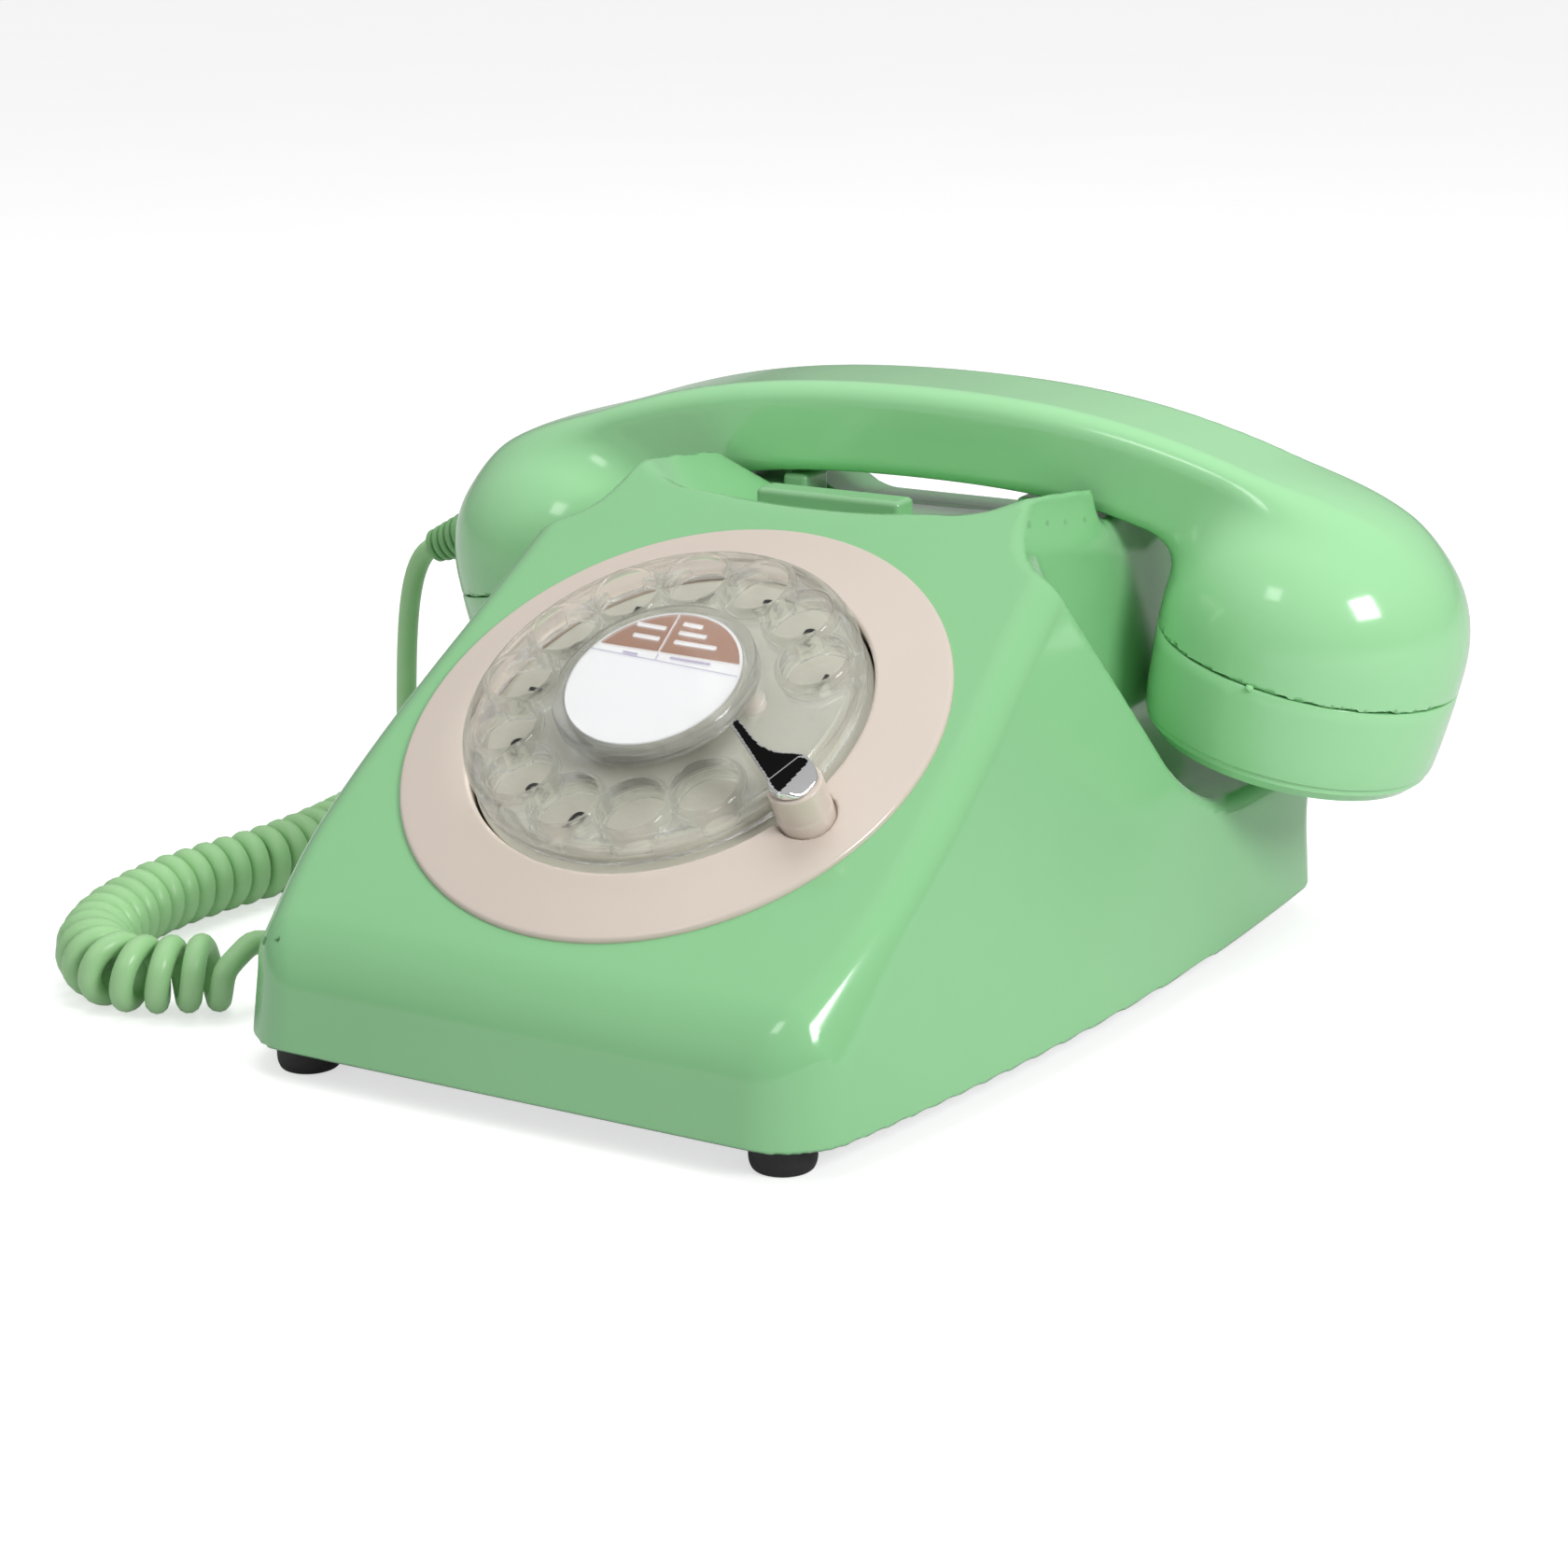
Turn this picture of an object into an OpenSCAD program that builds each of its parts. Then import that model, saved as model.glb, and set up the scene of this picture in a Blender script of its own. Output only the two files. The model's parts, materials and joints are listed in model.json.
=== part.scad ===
// Rotary dial desk telephone: case with a sloped dial face, clear finger wheel, handset across a
// four-horned cradle, and a curly handset cord. Millimetres. +X is the right-hand end of the
// handset, the dial face looks towards -Y, +Z is up, and the feet stand on z = 0.

/* [Case] */
// Depth of the case from front to back
case_d = 193; // [190:1:196]
// Width of the case across its front bottom edge
front_w = 124; // [120:1:126]
// Thickness of the moulded wall
wall = 2.6; // [2:0.1:3]
// Height of the side shelves that the handset cups hang over
shelf_z = 34; // [32:0.5:35]
// Height of the deck that the handle rests on
deck_z = 87.7; // [87:0.1:87.8]
// Height of the rubber feet
foot_h = 6; // [5.5:0.1:6.2]

/* [Dial] */
// Slope of the dial face from horizontal, in degrees
face_angle = 31; // [30.5:0.1:31.5]
// Outer radius of the bezel
bezel_r = 55; // [53:0.5:56]
// Radius of the finger wheel
wheel_r = 39.4; // [38:0.1:39.5]
// Radius of each finger hole
finger_r = 6.4; // [5.5:0.1:6.6]
// Radius of the circle that the finger holes are on
finger_circle_r = 30.4; // [29.8:0.1:30.6]
// Number of finger holes
finger_count = 12; // [10:1:12]
// Angle of the first finger hole, in degrees from +X
first_hole = 24; // [20:1:30]
// Angle between neighbouring finger holes, in degrees
hole_step = 26.4; // [26:0.1:26.6]

/* [Handset] */
// Radius of the cups at the seam above the caps
cap_r = 31.2; // [30:0.1:31.5]
// Tilt of each cap towards the other, in degrees
cap_tilt = 12.5; // [11:0.5:13]
// Distance from the middle of the handset to the middle of each cap seam
cap_x = 86.3; // [85.5:0.1:87]
// Height of the middle of each cap seam
cap_z = 61.7; // [61.5:0.1:63]
// Distance of the handset behind the origin
handset_y = 68; // [67.9:0.1:68.1]

/* [Cord] */
// Diameter of the cord
cord_d = 4.8; // [4:0.1:5]
// Outer diameter of the curly part
coil_d = 16.4; // [16:0.1:16.4]

/* [Hidden] */
$fn = 64;

// Case outline
case_y = -3;                // middle of the case: the origin is under the middle of the whole telephone
front_y = case_y - case_d / 2;
rear_y = case_y + case_d / 2;
side_flare = 0.26;          // how fast the plan widens behind the front edge
side_bow = 0.00082;         // how much the sides bow
front_lean = 0.12;          // draft of the front wall
rear_draft = 0.03;
crease_blend = 6;           // rounding between the front wall and the dial face
face_y = -39.2;             // the dial's centre on the face
face_z = 61.4;
side_lean = [[-100, 0.06], [-91, 0.10], [-44, 0.21], [5, 0.268], [27, 0.24], [57, 0.12], [94, 0.04]];
outer_levels = [6, 12, 18, 22, 24.5, 27, 29.5, 33, 40, 52, 64, 76, 88, 104];
inner_levels = [5, 12, 18, 22, 24.5, 27, 29.5, 33, 40, 52, 64, 76, 92];

// Cradle
scoop_r = 13;               // rounding inside the recess beside the neck
neck_x = 47;                // half width of the neck under the horns
channel = [52.6, 83.4];     // front and back of the slot that the handle lies in
trough_slope = 0.11;        // fall of the deck's middle towards the back
horn_fall = 0.17;           // fall of the horn ridges towards the back

// Dial stack, measured up from the dial face
bezel_h = 3.2;
well_r = 40.3;
plate_top = 3.8;
wheel_low = 7.4;
wheel_top = 10;
rim_low = 3.4;
collar_low = 5;
collar_wall = 0.9;
shaft_r = 3;
stop_angle = -25.5;
stop_r = 42.8;
frame_low = -9;
frame_top = -7;
gear_low = -13;
gear_top = -10.6;
gear_module = 0.6;
gear_teeth = 60;
pinion_teeth = 12;
governor_angle = 200;
governor_gap = gear_module * (gear_teeth + pinion_teeth) / 2 + 0.2;

// Handset
ring_h = 17.3;
ring_low_r = 29.9;
handle_half_w = 15.4;
handle_low_half_w = 12.9;
// Handle stations: distance from the middle, top, bottom
handle = [[0, 111.6, 92], [18, 111.3, 91.6], [32, 110.2, 90.7], [42, 108.9, 89], [49, 107.7, 87.9],
          [55, 106.4, 84.5], [61, 105, 79], [70, 102.5, 74], [81, 98.6, 71], [91, 91, 71]];

// Cord route: the straight lead down from the handset, the curly part, and the lead to the plug
lead_points = [[-131.7, 68, 61.4], [-134.4, 68, 59.8], [-137.4, 68, 54.5], [-139.4, 68, 47],
               [-140.6, 68, 38], [-141, 67.5, 28], [-140.4, 66, 18.5], [-138, 62.5, 10],
               [-134.5, 57.5, 4.8], [-130.5, 51.5, 2.7], [-127, 45.5, 2.4], [-124.6, 39, 2.4]];
coil_points = [[-124, 39, 8.2], [-122, 21, 8.2], [-121, 5, 8.2], [-122, -11, 8.2], [-125, -25, 8.2],
               [-127, -40, 8.2], [-126, -53, 8.2], [-123, -64, 8.2], [-117.5, -74, 8.2],
               [-110, -80.5, 8.2], [-102, -82.5, 8.2], [-95, -80.2, 8.2], [-89, -76.2, 8.2],
               [-84, -72.5, 8.2]];
plug_points = [[-84, -72.5, 14], [-81.6, -69.6, 14.2], [-79, -66.8, 13.4], [-76, -65, 12.4]];

mint = [0.56, 0.83, 0.60];
mint_dark = [0.45, 0.70, 0.48];
cream = [0.92, 0.86, 0.82];
clear = [0.85, 0.88, 0.86, 0.45];
steel = [0.72, 0.73, 0.75];
brass = [0.80, 0.65, 0.30];

// ---------- functions ----------
function smax(a, b, k) = max(a, b) + pow(max(k - abs(a - b), 0), 2) / (4 * k);
function unit(v) = v / norm(v);
function half_w(y, z, d) = let (t = y - front_y)
    front_w / 2 + side_flare * t - side_bow * t * t - lookup(y, side_lean) * (z - foot_h) - d;
function front_edge(z, d) = smax(front_y + front_lean * (z - foot_h) + d,
    face_y + (z - face_z) / tan(face_angle) + d / sin(face_angle), crease_blend);
function rear_edge(z, d) = rear_y - rear_draft * (z - foot_h) - d;
function corner_r(z, d) = max(2, (z < 28 ? 12 : 9) - d);
// Right half of the outline at one height, from the middle of the front to the middle of the back
function half_outline(z, d) = let (
    yf = front_edge(z, d), yr = rear_edge(z, d), r = corner_r(z, d),
    lean = atan(half_w(yf + r + 1, z, d) - half_w(yf + r, z, d)),
    ys = yf + r * (1 - sin(lean)), xs = half_w(ys, z, d),
    c = [xs - r * cos(lean), yf + r], span = yr - r - ys)
    concat(
        [for (i = [0:6]) let (a = -90 + i * (90 - lean) / 6) c + r * [cos(a), sin(a)]],
        [for (i = [1:7]) let (y = ys + span * i / 8) [half_w(y, z, d), y]],
        [for (i = [0:5]) let (a = i * 18) [half_w(yr - r, z, d) - r + r * cos(a), yr - r + r * sin(a)]]);
function outline(z, d) = let (h = half_outline(z, d), n = len(h))
    concat(h, [for (i = [0:n - 1]) [-h[n - 1 - i][0], h[n - 1 - i][1]]]);
function curve(p, i, t) = let (n = len(p), a = p[max(i - 1, 0)], b = p[i], c = p[i + 1],
    e = p[min(i + 2, n - 1)])
    0.5 * (2 * b + (c - a) * t + (2 * a - 5 * b + 4 * c - e) * t * t + (3 * b - a - 3 * c + e) * t * t * t);
function smooth_path(p, steps) = concat(
    [for (i = [0:len(p) - 2], s = [0:steps - 1]) curve(p, i, s / steps)], [p[len(p) - 1]]);
function tangent(q, i) = unit(q[min(i + 1, len(q) - 1)] - q[max(i - 1, 0)]);
// Sideways vectors that turn as little as they can from ring to ring
function sideways(q, first, i = 0, made = []) = i == len(q) ? made
    : let (t = tangent(q, i), last = i == 0 ? first : made[i - 1], s = unit(last - (last * t) * t))
    sideways(q, first, i + 1, concat(made, [s]));

// ---------- shapes ----------
module stack(rings) {
    n = len(rings[0]);
    m = len(rings);
    side = [for (j = [0:m - 2], i = [0:n - 1]) let (k = (i + 1) % n)
        [j * n + i, j * n + k, (j + 1) * n + k, (j + 1) * n + i]];
    tri = [for (f = side) each [[f[0], f[2], f[1]], [f[0], f[3], f[2]]]];
    polyhedron([for (r = rings) each r],
        concat([[for (i = [0:n - 1]) i]], tri, [[for (i = [0:n - 1]) (m - 1) * n + n - 1 - i]]), convexity = 8);
}
module tube(points, d, sides, steps, first) {
    q = smooth_path(points, steps);
    s = sideways(q, first);
    stack([for (i = [0:len(q) - 1]) let (w = cross(tangent(q, i), s[i]))
        [for (j = [0:sides - 1]) let (a = -j * 360 / sides) q[i] + d / 2 * (cos(a) * s[i] + sin(a) * w)]]);
}
module case_loft(levels, d) {
    stack([for (z = levels) [for (p = outline(z, d)) [p[0], p[1], z]]]);
}
module ball(x, y, z, r) {
    translate([x, y, z]) sphere(r, $fn = 28);
}
// The recess beside the neck: its front wall stands square to the dial face
module scoop(s, grow) {
    r = scoop_r + grow;
    low = shelf_z + scoop_r;
    y0 = 5 + (scoop_r + (88 - low) * sin(face_angle)) / cos(face_angle);
    rise = 60;
    back = rise * tan(face_angle);
    hull() {
        ball(s * (neck_x + 2.5 + scoop_r), y0, low, r);
        ball(s * (neck_x + scoop_r), y0 - back, low + rise, r);
        ball(s * (neck_x + 2.5 + scoop_r), 130, low, r);
        ball(s * (neck_x + scoop_r), 130, low + rise, r);
    }
    hull() {
        ball(s * (neck_x + 4 + scoop_r), y0, low, r);
        ball(s * (neck_x + 4 + scoop_r), y0 - back, low + rise, r);
        ball(s * 130, y0, low, r);
        ball(s * 130, y0 - back, low + rise, r);
        ball(s * 130, 130, low, r);
        ball(s * (neck_x + 4 + scoop_r), 130, low, r);
        ball(s * 130, 130, low + rise, r);
    }
}
module hand_recess(grow) {
    hull() for (x = [-30, 30], y = [76, 112], z = [52, 65]) ball(x, y, z, 8 + grow);
}
// Everything above the horns, the saddle between them and the shoulders
module above_horns() {
    half = [[0, 92.5], [15, 93.4], [26, 94.7], [34, 96.5], [38, 98], [42, 99.9], [44, 100.4],
            [45.3, 98.5], [45.7, 95.5], [46.8, 91.1], [52, 88.4], [57.5, 85.1], [66, 80.2]];
    n = len(half);
    for (rear = [0, 1]) translate([0, handset_y, 0]) mirror([0, rear, 0])
        multmatrix([[1, 0, 0, 0], [0, 1, 0, 0], [0, -horn_fall, 1, -horn_fall * 47]])
            translate([0, 0.01, 0]) rotate([90, 0, 0]) linear_extrude(170) polygon(concat(
                [[-90, 140], [-90, 80.2]], [for (i = [0:n - 1]) [-half[n - 1 - i][0], half[n - 1 - i][1]]],
                [for (i = [1:n - 1]) half[i]], [[90, 80.2], [90, 140]]));
}
module trough_stretch(y0, y1, flank) {
    multmatrix([[1, 0, 0, 0], [0, 1, 0, 0], [0, -trough_slope, 1, trough_slope * 17]])
        translate([0, y1, 0]) rotate([90, 0, 0]) linear_extrude(y1 - y0)
            polygon([[-24, 90], [24, 90], [43.5, flank], [43.5, 130], [-43.5, 130], [-43.5, flank]]);
}
module trough() {
    trough_stretch(17, 68, 98.6);
    trough_stretch(67.9, 130, 104.5);
}
module dial_place() {
    translate([0, face_y, face_z]) rotate([face_angle, 0, 0]) children();
}
module at(angle, r) {
    rotate(angle) translate([r, 0, 0]) children();
}
module bore_row(positions, r, low, high) {
    for (p = positions) translate([p[0], p[1], low]) cylinder(r = r, h = high - low);
}
module gear_outline(teeth, narrow) {
    pitch = gear_module * teeth / 2;
    root = pitch - 1.25 * gear_module;
    tip = pitch + 0.75 * gear_module;
    step = 360 / teeth;
    polygon([for (i = [0:teeth - 1]) each [
        root * [cos((i - 0.32) * step), sin((i - 0.32) * step)],
        tip * [cos((i - narrow) * step), sin((i - narrow) * step)],
        tip * [cos((i + narrow) * step), sin((i + narrow) * step)],
        root * [cos((i + 0.32) * step), sin((i + 0.32) * step)]]]);
}
module cap_place(s) {
    translate([s * cap_x, handset_y, cap_z]) rotate([0, s * cap_tilt, 0]) children();
}
// Cross-section of the handle, wider at the top than below, with rounded corners
function handle_section(top_w, low_w, h, r) = concat(
    [for (a = [0:18:90]) [top_w - r + r * cos(a), h - r + r * sin(a)]],
    [for (a = [90:18:180]) [-top_w + r + r * cos(a), h - r + r * sin(a)]],
    [for (a = [180:18:270]) [-low_w + r + r * cos(a), -h + r + r * sin(a)]],
    [for (a = [270:18:360]) [low_w - r + r * cos(a), -h + r + r * sin(a)]]);
module handle_bar(inset) {
    n = len(handle);
    both = concat([for (i = [1:n - 1]) [-handle[n - i][0], handle[n - i][1], handle[n - i][2]]], handle);
    q = smooth_path(both, 2);
    stack([for (i = [0:len(q) - 1]) let (
        ahead = q[min(i + 1, len(q) - 1)] - q[max(i - 1, 0)],
        lean = -atan((ahead[1] + ahead[2]) / 2 / ahead[0]) / 2,
        taper = max(0, abs(q[i][0]) - 70) * 0.11 + inset,
        h = (q[i][1] - q[i][2]) / 2 - inset)
        [for (p = handle_section(handle_half_w - taper, handle_low_half_w - taper, h, inset > 0 ? 2 : 4.5))
            [q[i][0] + p[1] * sin(lean), handset_y + p[0], (q[i][1] + q[i][2]) / 2 + p[1] * cos(lean)]]]);
}
function cup_profile(d) = [[cap_r + 0.3 - d, 3.2], [cap_r + 0.4 - d, 6], [cap_r - 0.2 - d, 11],
    [cap_r - 2 - d, 17], [cap_r - 5.5 - d, 22.6], [cap_r - 11 - d, 27.6 - d / 2], [cap_r - 19 - d, 31 - d],
    [0, 32.6 - d]];
module cup(s, d) {
    cap_place(s) rotate_extrude($fn = 48) polygon(concat([[0, 0], [cap_r - d, 0]], cup_profile(d)));
}

// ---------- case ----------
gong_x = 27;
gong_y = 59;
post_places = [[-50, -75], [50, -75], [-66, 77], [66, 77]];
foot_places = [[-52, -89], [52, -89], [-70, 63], [70, 63]];
hook_pads = [-28, 28];
module case_shell() {
    color(mint) difference() {
        union() {
            difference() {
                case_loft(outer_levels, 0);
                above_horns();
                trough();
                translate([-60, channel[0], deck_z]) cube([120, channel[1] - channel[0], 40]);
                for (s = [-1, 1]) scoop(s, 0);
                hand_recess(0);
                difference() {
                    case_loft(inner_levels, wall);
                    for (s = [-1, 1]) scoop(s, wall);
                    hand_recess(wall);
                    multmatrix([[1, 0, 0, 0], [0, 1, 0, 0], [0, -trough_slope, 1, trough_slope * 17]])
                        translate([-90, -90, 90 - wall]) cube([180, 220, 40]);
                    translate([-90, channel[0] - 3, deck_z - wall]) cube([180, 60, 40]);
                }
            }
            // posts for the base screws
            for (p = post_places) translate([p[0], p[1], 8.5]) cylinder(r = 4, h = 24.5, $fn = 24);
        }
        for (p = post_places) translate([p[0], p[1], 8]) cylinder(r = 1.55, h = 14, $fn = 24);
        dial_place() translate([0, 0, -20]) cylinder(r = 43.5, h = 26);
        translate([-17.3, 20.2, 70]) cube([34.6, 8.6, 30]);
        for (x = hook_pads) translate([x - 3.7, 56.3, 70]) cube([7.4, 11.4, 30]);
        translate([-7.8, 87, 11.7]) cube([15.6, 10, 12.6]);
        translate([-78, -70, 8.7]) cube([14, 10, 8.3]);
    }
}
module base_plate() {
    color(steel) difference() {
        translate([0, 0, foot_h + 0.4]) linear_extrude(2) polygon(outline(8, wall + 0.6));
        bore_row(post_places, 1.7, 5, 10);
        bore_row(foot_places, 2.5, 5, 10);
        bore_row([[-gong_x, gong_y], [gong_x, gong_y]], 2, 5, 10);
    }
}
module feet() {
    color([0.05, 0.05, 0.05]) for (p = foot_places) translate([p[0], p[1], 0]) rotate_extrude()
        polygon([[0, 0], [4.9, 0], [5.8, 0.5], [6.2, 1.6], [6.3, foot_h + 0.35], [2.4, foot_h + 0.35],
                 [2.4, foot_h + 2.9], [0, foot_h + 2.9]]);
}
module base_screws() {
    color(steel) for (p = post_places) translate([p[0], p[1], 0]) {
        translate([0, 0, foot_h - 1.4]) difference() {
            cylinder(r = 3, h = 1.75);
            translate([-0.4, -2, -0.1]) cube([0.8, 4, 0.9]);
            translate([-2, -0.4, -0.1]) cube([4, 0.8, 0.9]);
        }
        translate([0, 0, foot_h + 0.3]) cylinder(r = 1.4, h = 13);
    }
}

// ---------- dial, fixed parts ----------
module dial_bezel() {
    color(cream) dial_place() {
        difference() {
            union() {
                rotate_extrude() polygon([[well_r, -9], [well_r + 1.8, -9], [well_r + 1.8, 0.05],
                    [bezel_r, 0.05], [bezel_r, 0.9], [bezel_r - 1.2, 1.6], [well_r + 1.5, bezel_h],
                    [well_r, bezel_h - 0.3]]);
                at(stop_angle, stop_r) translate([0, 0, 1]) cylinder(r = 5.4, h = 9.8);
            }
            at(stop_angle, stop_r) translate([0, 0, 4.2]) cylinder(r = 1.3, h = 7);
            translate([0, 0, -10]) cylinder(r = well_r, h = 30);
        }
    }
}
module number_plate() {
    color([0.74, 0.73, 0.68]) dial_place() difference() {
        rotate_extrude() polygon([[8, -1], [well_r - 0.2, -1], [well_r - 0.2, 1], [36.6, 1],
            [36.2, plate_top], [8, plate_top]]);
        for (a = [90, 210, 330]) at(a, 33) translate([0, 0, -2]) {
            cylinder(r = 1.5, h = 8);
            translate([0, 0, 4.2]) cylinder(r = 2.6, h = 5);
        }
    }
}
module finger_stop() {
    blade = [[-20.4, 1.4], [-1.4, -3.9], [0.6, -3.5], [1.7, -1.4], [0.9, 3.5], [-0.4, 4.7], [-2.5, 5],
        [-5.3, 3.1], [-9, 1.7], [-13, 1.8], [-17, 2.8], [-19.6, 3.2], [-20.2, 2.4]];
    color([0.85, 0.85, 0.87]) dial_place() at(stop_angle, stop_r) {
        translate([0, 0, 11.7]) linear_extrude(1.3) polygon(blade);
        translate([0, 0, 10.9]) cylinder(r1 = 4.6, r2 = 1.9, h = 2);
        translate([0, 0, 6]) cylinder(r = 1.28, h = 5.5);
    }
}
module dial_frame() {
    color(steel) dial_place() difference() {
        union() {
            translate([0, 0, frame_low]) cylinder(r = 38.5, h = frame_top - frame_low);
            translate([0, 0, frame_low]) cylinder(r = 5.2, h = 6);
            for (a = [90, 210, 330]) at(a, 33) translate([0, 0, frame_low])
                cylinder(r = 3.2, h = -1.05 - frame_low);
        }
        translate([0, 0, -30]) cylinder(r = shaft_r + 0.05, h = 40);
        for (a = [90, 210, 330]) at(a, 33) translate([0, 0, -8]) cylinder(r = 1.15, h = 9);
        at(governor_angle, governor_gap) translate([0, 0, -12]) cylinder(r = 1.25, h = 10);
        for (a = [30, 150, 270]) at(a, 22) translate([0, 0, -12]) cylinder(r = 6, h = 10);
    }
}
module dial_screws() {
    color(steel) dial_place() for (a = [90, 210, 330]) at(a, 33) {
        translate([0, 0, 2.22]) difference() {
            cylinder(r = 2.3, h = 1.1);
            translate([-2.4, -0.3, 0.6]) cube([4.8, 0.6, 1]);
        }
        translate([0, 0, -7]) cylinder(r = 1.1, h = 9.3);
    }
}
module return_spring() {
    turns = 4;
    steps = 12;
    color([0.5, 0.52, 0.56]) dial_place() translate([0, 0, -6.6]) linear_extrude(2.8) polygon(concat(
        [for (i = [0:turns * steps]) let (a = i * 360 / steps, r = 6 + i * 1.5 / steps) r * [cos(a), sin(a)]],
        [for (j = [0:turns * steps]) let (i = turns * steps - j, a = i * 360 / steps, r = 6.5 + i * 1.5 / steps)
            r * [cos(a), sin(a)]]));
}
module pulse_contacts() {
    color(brass) dial_place() rotate(40) {
        translate([24, -4, -17]) cube([7, 8, 7.95]);
        for (h = [-14.4, -16.6]) translate([15.2, -1.5, h]) cube([9, 3, 0.5]);
    }
}

// ---------- dial, turning parts ----------
module finger_wheel() {
    color(clear) dial_place() difference() {
        union() {
            rotate_extrude() polygon([[0, 1], [6.8, 1], [6.8, wheel_low], [wheel_r - 2.2, wheel_low],
                [wheel_r - 2.2, rim_low], [wheel_r, rim_low], [wheel_r, 7.8], [wheel_r - 0.6, 9],
                [wheel_r - 1.8, 9.8], [wheel_r - 3, wheel_top], [0, wheel_top]]);
            for (i = [0:finger_count - 1]) at(first_hole + i * hole_step, finger_circle_r)
                translate([0, 0, collar_low]) cylinder(r = finger_r + collar_wall, h = 10.6 - collar_low);
        }
        for (i = [0:finger_count - 1]) at(first_hole + i * hole_step, finger_circle_r)
            translate([0, 0, collar_low - 1]) cylinder(r = finger_r, h = 10);
        translate([0, 0, 0]) cylinder(r = shaft_r + 0.02, h = 12);
    }
}
module hub_cup() {
    color([0.35, 0.34, 0.32]) dial_place() translate([0, 0, wheel_top + 0.02]) difference() {
        cylinder(r = 17.8, h = 2.5);
        translate([0, 0, -1]) cylinder(r = 1.6, h = 4);
    }
}
module label_card() {
    color([0.97, 0.97, 0.98]) dial_place() translate([0, 0, wheel_top + 2.55]) cylinder(r = 17.4, h = 0.3);
}
module label_cover() {
    color(clear) dial_place() rotate_extrude()
        polygon([[18, wheel_top + 0.02], [20.4, wheel_top + 0.02], [20.4, 12.7], [19.8, 13.5], [17, 13.8],
                 [0, 13.9], [0, 12.95], [18, 12.95]]);
}
module dial_shaft() {
    color(steel) dial_place() {
        translate([0, 0, -19]) cylinder(r = shaft_r, h = wheel_top + 19);
        translate([0, 0, -2.9]) cylinder(r = 6.5, h = 3.6);
    }
}
module main_gear() {
    color(brass) dial_place() difference() {
        rotate(governor_angle) translate([0, 0, gear_low]) linear_extrude(gear_top - gear_low)
            gear_outline(gear_teeth, 0.14);
        translate([0, 0, gear_low - 1]) cylinder(r = shaft_r + 0.01, h = 5);
        for (i = [0:5]) at(i * 60, 11) translate([0, 0, gear_low - 1]) cylinder(r = 3, h = 5);
    }
}
module pulse_cam() {
    color([0.25, 0.2, 0.16]) dial_place() difference() {
        translate([0, 0, -16]) cylinder(r = 14, h = 2.6);
        translate([0, 0, -17]) cylinder(r = shaft_r + 0.01, h = 5);
        for (i = [0:9]) at(first_hole + i * hole_step, 14.4) translate([0, 0, -17]) cylinder(r = 1.3, h = 5);
    }
}
module governor_spindle() {
    color(steel) dial_place() at(governor_angle, governor_gap) difference() {
        union() {
            translate([0, 0, -26]) cylinder(r = 1.2, h = 20.5);
            rotate(180 / pinion_teeth) translate([0, 0, gear_low - 0.3]) linear_extrude(gear_top - gear_low + 0.6)
                gear_outline(pinion_teeth, 0.12);
        }
    }
}
module governor_drum() {
    color(brass) dial_place() at(governor_angle, governor_gap) translate([0, 0, -25]) difference() {
        cylinder(r = 7.2, h = 6);
        translate([0, 0, -1]) cylinder(r = 1.21, h = 8);
        for (s = [-1, 1]) translate([s * 4.6, 0, 2]) cylinder(r = 1.4, h = 6);
    }
}

// ---------- hook switch ----------
module hook_bar() {
    color(mint_dark) {
        difference() {
            translate([-16.6, 21, 72]) cube([33.2, 7, 23]);
            for (x = [-17, 17]) translate([x, 24, 95.6]) rotate([0, 45, 0]) cube([1.6, 20, 1.6], center = true);
            translate([-12, 23, 71]) cube([24, 3, 20]);
        }
        translate([-8, 27, 72]) cube([16, 34, 3]);
        translate([-31, 57, 72]) cube([62, 10, 3]);
        for (x = hook_pads) translate([x - 3, 57, 72]) cube([6, 10, 18.2]);
    }
}
module hook_spring() {
    color(steel) translate([0, 42, 60.1]) difference() {
        cylinder(r = 4, h = 11.8);
        translate([0, 0, -1]) cylinder(r = 3, h = 14);
    }
}
module hook_switch() {
    color([0.2, 0.2, 0.22]) difference() {
        translate([-10, 34, 50.1]) cube([20, 16, 9.9]);
        for (x = [-6.5, 6.5]) translate([x, 57, 54]) rotate([90, 0, 0]) cylinder(r = 1.2, h = 30);
    }
}
module switch_bracket() {
    color(steel) {
        translate([-22, 30, 48.5]) cube([44, 22, 1.5]);
        for (x = [-22, 20.5]) translate([x, 30, foot_h + 2.45]) cube([1.5, 4, 41]);
    }
}

// ---------- ringer ----------
module gongs() {
    color(brass) for (s = [-1, 1]) translate([s * gong_x, gong_y, 0]) difference() {
        rotate_extrude() polygon([[0, 31], [8, 31], [15, 29.6], [20, 26.5], [23, 21], [23.8, 17], [22.6, 17],
                                  [21.6, 21], [18.8, 25.4], [14.4, 28.2], [8, 29.5], [0, 29.5]]);
        translate([0, 0, 20]) cylinder(r = 1.6, h = 20);
    }
}
module gong_posts() {
    color(steel) for (s = [-1, 1]) translate([s * gong_x, gong_y, 0]) difference() {
        union() {
            translate([0, 0, foot_h + 2.42]) cylinder(r = 3.4, h = 29.45 - foot_h - 2.42);
            translate([0, 0, foot_h + 0.5]) cylinder(r = 1.95, h = 3);
        }
        translate([0, 0, 20]) cylinder(r = 1.3, h = 20);
    }
}
module gong_screws() {
    color(steel) for (s = [-1, 1]) translate([s * gong_x, gong_y, 0]) {
        translate([0, 0, 31.02]) cylinder(r = 3.2, h = 1.6);
        translate([0, 0, 22]) cylinder(r = 1.25, h = 9.1);
    }
}
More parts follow.
